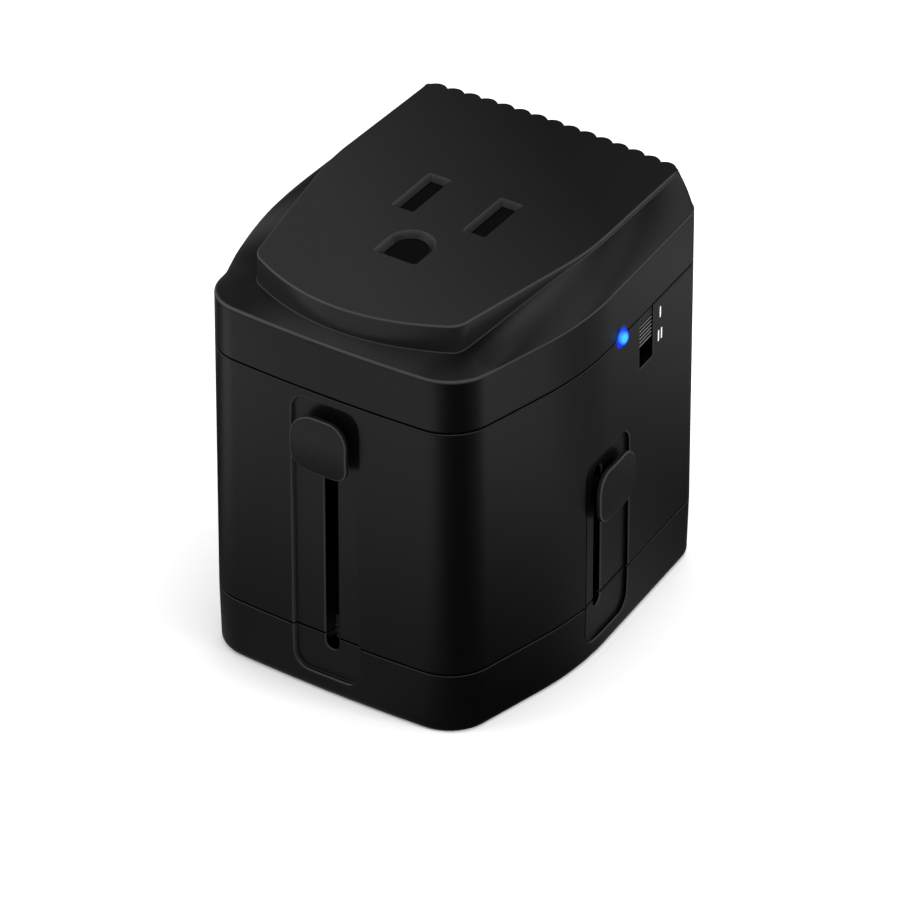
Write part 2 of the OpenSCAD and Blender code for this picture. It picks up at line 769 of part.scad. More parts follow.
// Gaps in the bottom cover's lip where the pads and posts of the middle body come down
module lip_breaks() {
    z = [lower_seam_z - cut, lower_seam_z + 2 * lip_h];
    reach = [-cut, stop_y + cut];
    front_face() box([-front_recess_w / 2 - 2 * pad_edge, front_recess_w / 2 + 2 * pad_edge], reach, z);
    for (side = [0, 1]) mirror([side, 0, 0]) right_face(side_slider_y)
        box([-side_recess_w / 2 - 2 * pad_edge, side_recess_w / 2 + 2 * pad_edge], reach, z);
    for (p = posts) translate([p.x, p.y, z[0]]) cylinder(r = post_r + web_l(p), h = z[1] - z[0]);
}

module cross_recess(r, depth) {
    for (a = [0, 90]) rotate(a) translate([-r, -r / 4, -cut]) cube([2 * r, r / 2, depth + cut]);
}

module case_screw(i) {
    color([0.75, 0.75, 0.77]) translate([posts[i].x, posts[i].y, screw_head_z]) difference() {
        union() {
            cylinder(d = screw_head_d, h = screw_head_h - fit);
            cylinder(d = screw_d, h = screw_head_h + screw_l);
        }
        cross_recess(screw_head_d / 3, screw_head_h / 2);
    }
}

// Outlet contacts

module contact(gap, w) {
    for (x = [-1, 1]) translate([x * (gap + contact_t) / 2, 0, -contact_depth])
        linear_extrude(contact_depth - contact_top) square([contact_t, w], center = true);
    translate([0, 0, -contact_depth]) linear_extrude(contact_t)
        square([gap + 2 * contact_t, w], center = true);
    translate([0, 0, -contact_depth - tail_l]) linear_extrude(tail_l + contact_t / 2)
        square([contact_t, tail_w], center = true);
}

module blade_contact(x) {
    color([0.8, 0.62, 0.3]) on_outlet() translate([x * blade_pitch / 2, 0, 0])
        contact(blade_gap, blade_contact_w);
}

module ground_contact() {
    color([0.8, 0.62, 0.3]) on_outlet() translate([0, -ground_offset, 0])
        contact(ground_gap, ground_contact_w);
}

module contact_tails(room) {
    for (p = [[-blade_pitch / 2, 0], [blade_pitch / 2, 0], [0, -ground_offset]])
        translate([p.x, p.y, -contact_depth - tail_l - cut])
            linear_extrude(tail_l + cut) square([contact_t + room, tail_w + room], center = true);
}

module contact_retainer() {
    color([0.86, 0.83, 0.75]) on_outlet() difference() {
        box([-retainer_w / 2, retainer_w / 2], [retainer_front, retainer_back],
            [retainer_z, retainer_z + retainer_t]);
        contact_tails(2 * lip_gap);
        for (x = [-1, 1]) translate([x * retainer_post_x, -ground_offset, retainer_z - cut])
            cylinder(r = retainer_screw_r + fit, h = retainer_t + 2 * cut);
    }
}

module retainer_screw(x) {
    head_h = 1.4;
    color([0.75, 0.75, 0.77]) on_outlet()
        translate([x * retainer_post_x, -ground_offset, retainer_z - fit - head_h]) difference() {
            union() {
                cylinder(r = 2 * retainer_screw_r, h = head_h);
                cylinder(r = retainer_screw_r, h = head_h + retainer_t + retainer_screw_l - cut);
            }
            cross_recess(retainer_screw_r, head_h / 2);
        }
}

// Board and what stands on it

module lamp_lead_shape(i, t) {
    x = i * lamp_lead_pitch / 2;
    right_face(lamp_y) box([x - t / 2, x + t / 2], [lamp_lead_y - t / 2, lamp_lead_y + t / 2],
                           [board_z + fit, upper_seam_z + t / 2]);
}

module bus_bar_shape(x, room) {
    translate([x * bus_x, bus_y, lower_seam_z]) linear_extrude(board_top - lower_seam_z)
        square([bus_w + room, bus_t + room], center = true);
}

module board_holes() {
    screw_holes(screw_d + screw_room, board_z - cut, board_top + cut);
    front_face() box([-arm_w / 2 - bar_edge, arm_w / 2 + bar_edge], [0, stop_y + arm_w],
                     [board_z - cut, board_top + cut]);
    on_outlet() contact_tails(lead_hole);
    for (x = [-1, 1]) {
        bus_bar_shape(x, 2 * lip_gap);
        lamp_lead_shape(x, lead_hole);
    }
    translate([0, 0, board_z - cut]) linear_extrude(board_t + 2 * cut) {
        for (i = [-1:1]) translate([i * triac_lead_pitch, triac_lead_y]) square(lead_hole, center = true);
        for (i = [-1, 1]) translate(capacitor_at + [0, i * capacitor_lead_pitch / 2])
            square(lead_hole, center = true);
    }
}

module circuit_board() {
    color([0.2, 0.42, 0.22]) difference() {
        slab(board_inset, board_z, board_t);
        board_holes();
    }
}

module heat_sink() {
    color([0.75, 0.76, 0.78]) difference() {
        translate([0, sink_y, sink_z]) linear_extrude(sink_h) {
            translate([-sink_w / 2, 0]) square([sink_w, sink_base_t]);
            for (i = [0:sink_fins - 1])
                translate([-sink_w / 2 + i * (sink_w - sink_fin_t) / (sink_fins - 1), 0])
                    square([sink_fin_t, sink_d]);
        }
        translate([0, sink_y - cut, triac_screw_z]) rotate([-90, 0, 0])
            cylinder(r = triac_screw_r + fit, h = sink_base_t + sink_d);
    }
}

module triac() {
    color([0.15, 0.15, 0.16]) {
        box([-triac_w / 2, triac_w / 2], [triac_back - triac_t, triac_back], [triac_z, triac_z + triac_h]);
        difference() {
            box([-triac_w / 2, triac_w / 2], [triac_back - triac_tab_t, triac_back],
                [triac_z + triac_h - cut, triac_z + triac_h + triac_tab_h]);
            translate([0, triac_back - triac_t, triac_screw_z]) rotate([-90, 0, 0])
                cylinder(r = triac_screw_r + fit, h = 2 * triac_t);
        }
        for (i = [-1:1]) translate([i * triac_lead_pitch, triac_lead_y, board_z + fit])
            linear_extrude(triac_z - board_z + cut) square(lead_t, center = true);
    }
}

module triac_screw() {
    head_h = 1.8;
    color([0.75, 0.75, 0.77])
        translate([0, triac_back - triac_tab_t - fit, triac_screw_z]) rotate([-90, 0, 0]) difference() {
            union() {
                translate([0, 0, -head_h]) cylinder(r = 1.9 * triac_screw_r, h = head_h);
                cylinder(r = triac_screw_r, h = triac_tab_t + 2 * fit + sink_base_t + bus_t);
            }
            translate([0, 0, -head_h]) cross_recess(triac_screw_r, head_h / 2);
        }
}

module film_capacitor() {
    color([0.85, 0.68, 0.2]) {
        translate([capacitor_at.x, capacitor_at.y, board_top + fit + capacitor_size.z / 2])
            cube(capacitor_size, center = true);
        for (i = [-1, 1])
            translate([capacitor_at.x, capacitor_at.y + i * capacitor_lead_pitch / 2, board_z + fit])
                linear_extrude(board_t + capacitor_size.z / 2) square(lead_t, center = true);
    }
}

module choke() {
    color([0.16, 0.2, 0.17]) translate([choke_at.x, choke_at.y, board_top + fit]) rotate_extrude()
        polygon([[0, 0], [choke_r, 0], [choke_r, choke_h - choke_edge], [choke_r - choke_edge, choke_h],
                 [choke_dimple_r, choke_h], [choke_dimple_r, choke_h - choke_dimple],
                 [0, choke_h - choke_dimple]]);
}

module thermal_cutout() {
    color([0.7, 0.66, 0.6]) translate([cutout_at.x, cutout_at.y, board_top + fit]) {
        cylinder(r = cutout_r, h = cutout_h / 2);
        cylinder(r = cutout_r - cutout_step, h = cutout_h);
    }
}

module along_fuse() {
    translate([fuse_at.x, fuse_at.y, fuse_z]) rotate([-90, 0, 0]) children();
}

module fuse_tube() {
    color([0.8, 0.88, 0.9]) along_fuse()
        cylinder(d = fuse_d - 2 * fit, h = fuse_l - 2 * fuse_cap_t - 2 * fit, center = true);
}

module fuse_cap(i) {
    color([0.78, 0.78, 0.8]) along_fuse() mirror([0, 0, i < 0 ? 1 : 0]) difference() {
        translate([0, 0, fuse_l / 2 - fuse_cap_l]) cylinder(d = fuse_d + 2 * fuse_cap_t, h = fuse_cap_l);
        translate([0, 0, fuse_l / 2 - fuse_cap_l - cut])
            cylinder(d = fuse_d, h = fuse_cap_l + cut - fuse_cap_t);
    }
}

module fuse_clip(i) {
    z0 = board_top + fit;
    y0 = fuse_at.y + i * (fuse_l / 2 - fuse_cap_l / 2) - clip_l / 2;
    color([0.8, 0.62, 0.3]) difference() {
        box([fuse_at.x - clip_w / 2, fuse_at.x + clip_w / 2], [y0, y0 + clip_l], [z0, fuse_z + fuse_d / 4]);
        along_fuse() cylinder(d = fuse_d + 2 * fuse_cap_t + 2 * fit, h = 2 * fuse_l, center = true);
    }
}

module bus_bar(x) {
    color([0.8, 0.62, 0.3]) bus_bar_shape(x, 0);
}

// Mode switch and lamp

module switch_body() {
    y = [switch_body_y, switch_body_y + switch_body_size.y];
    z = board_top + fit;
    stem_x = switch_stem_w / 2 + plug_gap;
    stem_z = switch_stem_h / 2 + plug_gap;
    color([0.6, 0.6, 0.62]) right_face(switch_y) difference() {
        box([-switch_body_size.x / 2, switch_body_size.x / 2], y, [z, z + switch_body_size.z]);
        box([-stem_x, stem_x], [y[0] - cut, y[0] + switch_body_size.y / 2 + cut],
            [switch_knob_z - switch_travel - stem_z, switch_knob_z + stem_z]);
    }
}

module switch_knob() {
    w = window_w - 2 * switch_gap;
    z0 = switch_knob_z - switch_knob_h / 2;
    pitch = switch_knob_h / switch_ribs;
    color([0.1, 0.1, 0.11]) right_face(switch_y) {
        difference() {
            box([-w / 2, w / 2], [switch_sunk, wall + lip_t], [z0, z0 + switch_knob_h]);
            for (i = [1:switch_ribs - 1])
                box([-w, w], [switch_sunk - cut, switch_sunk + rib_depth],
                    [z0 + (i - rib_share) * pitch, z0 + (i + rib_share) * pitch]);
        }
        box([-switch_stem_w / 2, switch_stem_w / 2], [wall, switch_body_y + switch_body_size.y / 2],
            [switch_knob_z - switch_stem_h / 2, switch_knob_z + switch_stem_h / 2]);
    }
}

module lamp() {
    color([0.3, 0.6, 1]) right_face(lamp_y) translate([0, 0, upper_seam_z]) rotate([-90, 0, 0]) {
        intersection() {
            translate([0, 0, -lamp_proud]) cylinder(d = lamp_d, h = lamp_proud + lamp_flange_y + fit);
            translate([0, 0, lamp_d - lamp_proud]) sphere(lamp_d);
        }
        cylinder(d = lamp_d, h = lamp_flange_y);
        translate([0, 0, lamp_flange_y])
            cylinder(d = lamp_d + 2 * lamp_flange_edge, h = lamp_lead_back - lead_t / 2 - fit);
    }
}

module lamp_lead(i) {
    color([0.75, 0.75, 0.77]) lamp_lead_shape(i, lead_t);
}

// Plug with two round pins, moved by the front knob

module front_knob() {
    color([0.14, 0.14, 0.15]) front_face() slider_knob(front_knob_z);
}

module eu_carriage() {
    plinth_z = tip_inset + eu_pin_l;
    color([0.13, 0.13, 0.14]) difference() {
        union() {
            translate([0, eu_y, plinth_z]) linear_extrude(eu_plate_z - plinth_z + cut)
                square([eu_plinth_w, eu_plinth_d], center = true);
            translate([0, eu_y, eu_plate_z]) linear_extrude(plate_t)
                square([eu_plate_w, eu_plate_d], center = true);
            front_face() slider_arm(front_knob_z, eu_plate_z, eu_from_front - eu_plate_d / 2 + bar_edge);
        }
        for (x = [-1, 1]) translate([x * eu_pitch / 2, eu_y, plinth_z - cut])
            cylinder(d = eu_pin_d + 2 * fit, h = pin_root + cut + fit);
    }
}

module eu_pin(x) {
    r = eu_pin_d / 2;
    color([0.8, 0.8, 0.82]) translate([x * eu_pitch / 2, eu_y, tip_inset]) {
        translate([0, 0, r]) sphere(r);
        translate([0, 0, r]) cylinder(r = r, h = eu_pin_l + pin_root - r);
    }
}

// Plug with two slanted blades, moved by the right knob

module right_knob() {
    color([0.14, 0.14, 0.15]) right_face(side_slider_y) slider_knob(right_knob_z);
}

module au_carriage() {
    color([0.13, 0.13, 0.14]) difference() {
        union() {
            box([-au_plate_x, au_plate_end], [au_plate_front, au_plate_back],
                [au_plate_z, au_plate_z + plate_t]);
            right_face(side_slider_y) slider_arm(right_knob_z, au_plate_z, stop_y + arm_w);
        }
        for (x = [-1, 1]) translate([x * au_pitch / 2, au_y, au_plate_z - cut]) rotate(x * au_angle)
            linear_extrude(blade_root + cut + fit)
                square([au_blade_t + 2 * fit, au_blade_w + 2 * fit], center = true);
    }
}

module au_blade(x) {
    color([0.8, 0.8, 0.82]) translate([x * au_pitch / 2, au_y, tip_inset]) rotate(x * au_angle)
        linear_extrude(au_plate_z + blade_root - tip_inset) square([au_blade_t, au_blade_w], center = true);
}

// Plug with three rectangular pins, moved by the left knob

module left_knob() {
    color([0.14, 0.14, 0.15]) left_face(side_slider_y) slider_knob(left_knob_z);
}

module uk_carriage() {
    z = [uk_plate_z, uk_plate_z + plate_t];
    y = [uk_y - bar_w / 2, earth_y + bar_w / 2];
    x0 = -side_x(side_slider_y) + stop_y + arm_w - bar_w / 2;
    pin = [uk_pin_w - 2 * uk_sleeve_t + 2 * fit, uk_pin_t - 2 * uk_sleeve_t + 2 * fit];
    color([0.13, 0.13, 0.14]) difference() {
        union() {
            box([x0, uk_side_x], [y[0], y[0] + bar_w], z);
            box([x0, x0 + bar_w], y, z);
            box([x0, bar_w / 2], [y[1] - bar_w - bar_edge, y[1] + bar_edge], z);
            left_face(side_slider_y) slider_arm(left_knob_z, uk_plate_z, stop_y + arm_w);
        }
        for (x = [-1, 1]) translate([x * uk_pitch / 2, uk_y, uk_plate_z - cut])
            linear_extrude(blade_root + cut + fit) square(pin, center = true);
        translate([0, earth_y, uk_plate_z - cut]) linear_extrude(blade_root + cut + fit)
            square([uk_pin_t + 2 * fit, uk_earth_w + 2 * fit], center = true);
    }
}

module uk_pin(x) {
    sleeve_z = uk_plate_z - uk_sleeve_l;
    color([0.8, 0.8, 0.82]) translate([x * uk_pitch / 2, uk_y, uk_tip_z]) {
        linear_extrude(sleeve_z - fit - uk_tip_z) square([uk_pin_w, uk_pin_t], center = true);
        linear_extrude(uk_plate_z + blade_root - uk_tip_z)
            square([uk_pin_w - 2 * uk_sleeve_t, uk_pin_t - 2 * uk_sleeve_t], center = true);
    }
}

module uk_sleeve(x) {
    inner = [uk_pin_w - 2 * uk_sleeve_t + 2 * fit, uk_pin_t - 2 * uk_sleeve_t + 2 * fit];
    color([0.1, 0.1, 0.1]) translate([x * uk_pitch / 2, uk_y, uk_plate_z - uk_sleeve_l])
        linear_extrude(uk_sleeve_l - fit) difference() {
            square([uk_pin_w, uk_pin_t], center = true);
            square(inner, center = true);
        }
}

module uk_earth_pin() {
    color([0.8, 0.8, 0.82]) translate([0, earth_y, tip_inset])
        linear_extrude(uk_plate_z + blade_root - tip_inset) square([uk_pin_t, uk_earth_w], center = true);
}

top_cover();
mid_body();
bottom_cover();
case_screw(0);  // case_screw_1
case_screw(1);  // case_screw_2
case_screw(2);  // case_screw_3
case_screw(3);  // case_screw_4
blade_contact(1);  // line_contact
blade_contact(-1);  // neutral_contact
ground_contact();
contact_retainer();
retainer_screw(1);  // retainer_screw_1
retainer_screw(-1);  // retainer_screw_2
circuit_board();
heat_sink();
triac();
triac_screw();
film_capacitor();
choke();
thermal_cutout();
fuse_tube();
fuse_cap(1);  // fuse_cap_1
fuse_cap(-1);  // fuse_cap_2
fuse_clip(1);  // fuse_clip_1
fuse_clip(-1);  // fuse_clip_2
bus_bar(1);  // bus_bar_1
bus_bar(-1);  // bus_bar_2
switch_body();
lamp();
lamp_lead(1);  // lamp_lead_1
lamp_lead(-1);  // lamp_lead_2
switch_knob();
front_knob();
eu_carriage();
eu_pin(1);  // eu_pin_1
eu_pin(-1);  // eu_pin_2
right_knob();
au_carriage();
au_blade(1);  // au_blade_1
au_blade(-1);  // au_blade_2
left_knob();
uk_carriage();
uk_pin(1);  // uk_pin_1
uk_pin(-1);  // uk_pin_2
uk_sleeve(1);  // uk_sleeve_1
uk_sleeve(-1);  // uk_sleeve_2
uk_earth_pin();
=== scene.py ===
import bpy
import numpy as np
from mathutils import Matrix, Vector
from mathutils.geometry import delaunay_2d_cdt


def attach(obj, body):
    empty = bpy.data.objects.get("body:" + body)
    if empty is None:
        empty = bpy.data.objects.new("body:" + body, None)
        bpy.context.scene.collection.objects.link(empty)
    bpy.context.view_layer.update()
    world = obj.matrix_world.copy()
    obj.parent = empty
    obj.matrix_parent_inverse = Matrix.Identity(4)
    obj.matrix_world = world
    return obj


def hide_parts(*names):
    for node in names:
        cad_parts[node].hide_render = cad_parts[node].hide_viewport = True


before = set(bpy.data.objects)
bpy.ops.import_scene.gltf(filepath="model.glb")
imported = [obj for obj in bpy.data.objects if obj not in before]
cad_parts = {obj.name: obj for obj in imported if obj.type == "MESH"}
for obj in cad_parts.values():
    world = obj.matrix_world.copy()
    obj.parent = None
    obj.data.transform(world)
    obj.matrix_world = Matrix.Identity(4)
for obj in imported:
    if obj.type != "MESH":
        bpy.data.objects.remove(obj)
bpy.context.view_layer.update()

# Sizes in millimetres, in the frame of the part: +X right, front towards -Y, base at z 0
MM = 0.001
FRONT_Y, BACK_Y, BEND_Y = -32.85, 32.85, -6.35
FRONT_W, SIDE_W, BACK_W, FACE_BOW = 45.4, 53.8, 42.4, 1.4
BODY_RADII = (7.4, 54.0, 5.0)
WALL, FLOOR_T, FOOT_PULL, BASE_DRAFT = 2.0, 2.0, 0.8, 0.27
LOW_SEAM, HIGH_SEAM, SEAM_GAP, SEAM_R = 10.0, 50.9, 0.32, 0.12
LIP_OUT, LIP_IN, LIP_RISE = 2.1, 2.9, 1.5
RIM_Z, RIM_R = 59.6, 0.5
LEDGE_Z, FACE_Z, FACE_TILT, ROOF_T = 60.5, 67.3, np.radians(5.27), 2.2
RISE_Y, RISE_RUN, FOOT_STEP, FOOT_R, FACE_EDGE = -25.35, 27.3, 0.5, 0.16, 0.3
FACE_BACK_Y = 23.8
FACE_RADII = (3.5, 40.0, 0.6)
REEDS, REED_DEPTH, REED_EDGE = 15, 0.65, 0.1
OUTLET_Y, BLADE_PITCH, GROUND_OFFSET = -0.35, 12.7, 11.9
WELL_WALL, WELL_TOP, WELL_FOOT = 1.1, 2.1, 17.8
# Sliders: recess, slot, knob cap and stem
RECESS_DEPTH, RECESS_BACK, RECESS_LOW, RECESS_R, RECESS_FOOT_R = 0.5, 3.1, 3.0, 2.5, 0.12
FRONT_RECESS_TOP, RIGHT_RECESS_TOP, LEFT_RECESS_TOP = 49.4, 34.15, 37.15
FRONT_RECESS_W, SIDE_RECESS_W, FRONT_RECESS_X = 11.7, 13.2, -0.25
FRONT_SLOT_X, SIDE_SLOT_X, SLOT_W, SLOT_EDGE_R = 0.65, 2.85, 2.3, 0.25
SLOT_ROOM, SIDE_SLOT_ABOVE = 0.3, 2.0
SIDE_SLIDER_Y, SWITCH_Y, LAMP_Y, LAMP_R, LAMP_DOME, LAMP_EDGE = 1.95, 13.65, 5.35, 1.5, 0.85, 0.12
FRONT_TRAVEL, RIGHT_TRAVEL, LEFT_TRAVEL = 33.6, 18.0, 23.2
KNOB_DOME_W, KNOB_DOME_H = 60.0, 24.0
CAP_EDGE, CAP_SIDE, CAP_INSET, CAP_BACK = 0.25, 0.5, 2.6, 0.38
# Side caps: size, place along the wall, how proud, and the painted light on the upper part of the face
SIDE_CAP, SIDE_CAP_X, SIDE_CAP_PROUD, SIDE_CAP_TOP_LIGHT = (12.0, 8.6), 0.45, 1.6, 0.1
STEM_W, STEM_H = 2.0, 3.6
FRONT_STEM_Z, RIGHT_STEM_Z, LEFT_STEM_Z = 43.4, 28.5, 31.5
# Switch: window, slider, the ribbed part of its height, and the marks beside it
WINDOW_W, WINDOW_Z = 4.5, 42.15
SWITCH_HALF_W, SWITCH_H, SWITCH_Z, SWITCH_BACK, RIBS, RIBBED = 2.1, 5.2, 48.05, 2.9, 6, 0.72
MARK_HALF_W, MARK_HALF_H, MARK_R = 0.2, 0.9, 0.08
MARKS = ((4.6, 48.4), (4.1, 44.6), (5.1, 44.6))
# Plugs: places and half sizes of their pins, and the room that the base leaves round them
TIP_Z, EU_Y, UK_Y, EARTH_Y, AU_Y = 0.6, -21.65, -5.65, 16.55, 5.35
EU_X, UK_X, AU_X, AU_TURN = 9.5, 11.1, 6.86, 30
EU_PIN_R, EU_PLINTH_Z, UK_TIP_Z, UK_PLATE_Z, UK_SLEEVE, AU_PLATE_Z = 2.0, 19.6, 5.6, 25.5, 9.0, 20.3
EU_PLINTH, UK_PIN, EARTH_PIN, AU_BLADE = (13.5, 4.2), (3.175, 1.985), (1.985, 3.975), (0.815, 3.175)
PIN_ROOM = 0.3
# Screw posts of the middle body and the base, and bosses of the top cover
POSTS = np.array([[18.3, -24.5], [16.5, 26.5], [-16.5, 26.5], [-18.3, -24.5]])
POST_R, POST_BORE, BOSS_BORE = 3.1, 1.75, 1.5
POST_LOW_Z, POST_TOP_Z, BOSS_LOW_Z, BOSS_TOP_Z = 4.3, 40.95, 42.65, 58.0
FLIP = np.array([-1.0, 1.0])
# Painted highlight on the step's wall, and on the rings of an outlet mouth from the face down
STEP_WALL_LIGHT = 0.25
MOUTH_LIGHT = (0, 0, 0.4, 0.6, 0.2, 0, 0, 0)
# Mark of a surface deep in a slot, painted as shade: a dull near-black that throws almost no light back
DEEP = -1.0
# Angles of a quarter round, from its rim to its face, and the painted highlight on the edge at them
QUARTER = np.radians([0, 22, 45, 68, 90])
QUARTER_LIGHT = (0.2, 0.8, 1.0, 0.8, 0.0)

SIDE_SLOPE = (SIDE_W - BACK_W) / 2 / (BACK_Y - FACE_BOW - BEND_Y)
SIDE_ANGLE = np.arctan(SIDE_SLOPE)


def side_x(y):
    """Half width of the body behind its side bends: the straight side at y."""
    return SIDE_W / 2 - SIDE_SLOPE * (y - BEND_Y)


def face_height(y):
    """Height of the tilted outlet face at y."""
    return FACE_Z + y * np.tan(FACE_TILT)


def foot_height(y):
    """Height of the foot of the step: a quarter sine from the ledge up to just below the outlet face."""
    rise = np.sin(np.pi / 2 * np.clip((y - RISE_Y) / RISE_RUN, 0, 1))
    return LEDGE_Z + (face_height(y) - FOOT_STEP - LEDGE_Z) * rise


def unit(v):
    return v / np.linalg.norm(v)


def moved_in(a, v, b, d):
    """The corner v between a and b with both edges moved inwards by d along their outward normals."""
    s, t = unit(v - a), unit(b - v)
    m, n = np.array([s[1], -s[0]]), np.array([t[1], -t[0]])
    return v - d * (m + n) / (1 + m @ n)


def corner_arc(a, v, b, r, steps):
    """Points of the arc of radius r that rounds the corner v between a and b."""
    p, q = unit(a - v), unit(b - v)
    half = np.arccos(p @ q) / 2
    c = v + unit(p + q) * r / np.sin(half)
    s = v + p * r / np.tan(half) - c
    turn = np.arctan2(s[1], s[0]) + (np.pi - 2 * half) * np.linspace(0, 1, steps + 1)
    return c + r * np.stack([np.cos(turn), np.sin(turn)], 1)


def bowed(e, c, f, t):
    """Quadratic curve from e to f whose end tangents meet at c, at the fractions t."""
    t = t[:, None]
    return (1 - t) ** 2 * e + 2 * t * (1 - t) * c + t ** 2 * f


def outline(v, radii, d, reed=0.0, fine=1):
    """Symmetric loop through the five corners v of its right half, moved inwards by d, counter-clockwise
    from the front middle: bowed front, rounded corners with straight sides between them, and a bowed back
    with reeds, each a parabola of the given depth."""
    around = [v[1] * FLIP, *v, v[3] * FLIP]
    w = [moved_in(around[i], around[i + 1], around[i + 2], d) for i in range(5)]
    arcs = [corner_arc(w[i - 1], w[i], w[i + 1], max(radii[i - 1] - d, 0.3), steps * fine)
            for i, steps in ((1, 22), (2, 16), (3, 14))]
    parts = [bowed(arcs[0][0] * FLIP, w[0], arcs[0][0], np.linspace(0.5, 1, 24 * fine + 1)[:-1])]
    for i, steps in ((0, 14), (1, 22)):
        between = np.linspace(0, 1, steps * fine + 1)[1:-1, None]
        parts += [arcs[i], arcs[i][-1] + between * (arcs[i + 1][0] - arcs[i][-1])]
    t = np.linspace(0, 0.5, 105 * fine + 1)[1:]
    back = bowed(arcs[2][-1], w[4], arcs[2][-1] * FLIP, t)
    f = (t * REEDS) % 1
    back[:, 1] += reed * 4 * f * (1 - f)
    right = np.concatenate(parts + [arcs[2], back])
    return np.concatenate([right, (right * FLIP)[-2:0:-1]])


BODY = np.array([[0, FRONT_Y - FACE_BOW / 2], [FRONT_W / 2, FRONT_Y + FACE_BOW / 2], [SIDE_W / 2, BEND_Y],
                 [BACK_W / 2, BACK_Y - FACE_BOW / 2], [0, BACK_Y + FACE_BOW / 2]])
FACE = np.array([[0, -34.575], [18.1, -25.35], [23.3, -0.25], [side_x(FACE_BACK_Y) + 0.2, FACE_BACK_Y],
                 [0, FACE_BACK_Y + 1.82]])


def body_loop(d, fine=1):
    return outline(BODY, BODY_RADII, d, fine=fine)


def face_loop(d, reed=0.0):
    return outline(FACE, FACE_RADII, d, reed)


def smooth(t):
    """Smooth step from 0 to 1: three times the square less twice the cube."""
    t = np.clip(t, 0, 1)
    return t * t * (3 - 2 * t)


def loop_normals(flat):
    """Outward unit normals of a closed counter-clockwise loop, from the points on either side."""
    ahead = np.roll(flat, -1, 0) - np.roll(flat, 1, 0)
    return np.stack([ahead[:, 1], -ahead[:, 0]], 1) / np.linalg.norm(ahead, axis=1)[:, None]


def raised(flat, z):
    """Flat points lifted to the heights z."""
    return np.column_stack([flat, np.broadcast_to(z, len(flat))])


def round_rect(half_w, half_h, r, corner=6, side=5):
    """Rectangle with round corners, counter-clockwise from the upper right one, with the same number of
    points for any size. The radius is one number, or one for each corner."""
    turn = np.linspace(0, np.pi / 2, corner + 1)
    quarters = ((1, 1, 0), (-1, 1, np.pi / 2), (-1, -1, np.pi), (1, -1, 1.5 * np.pi))
    arcs = []
    for (sx, sy, a), q in zip(quarters, np.broadcast_to(r, 4)):
        middle = np.array([sx * (half_w - q), sy * (half_h - q)])
        arcs.append(middle + q * np.stack([np.cos(turn + a), np.sin(turn + a)], 1))
    between = np.linspace(0, 1, side + 1)[1:-1, None]
    sides = [arcs[i][-1] + between * (arcs[(i + 1) % 4][0] - arcs[i][-1]) for i in range(4)]
    return np.concatenate([x for pair in zip(arcs, sides) for x in pair])


def d_shape(r, corner):
    """Half circle towards the back with a square front whose corners are rounded, counter-clockwise."""
    turn = np.linspace(0, np.pi, 25)
    small = np.linspace(0, np.pi / 2, 6)
    left = np.array([-r + corner, -r + corner]) + corner * np.stack([-np.cos(small), -np.sin(small)], 1)
    return np.concatenate([r * np.stack([np.cos(turn), np.sin(turn)], 1), left, (left * FLIP)[::-1]])


def circle(r, steps=40):
    turn = 2 * np.pi * np.arange(steps) / steps
    return r * np.stack([np.cos(turn), np.sin(turn)], 1)


def turned(degrees):
    """Matrix that turns rows of flat points counter-clockwise."""
    turn = np.radians(degrees)
    return np.array([[np.cos(turn), np.sin(turn)], [-np.sin(turn), np.cos(turn)]])


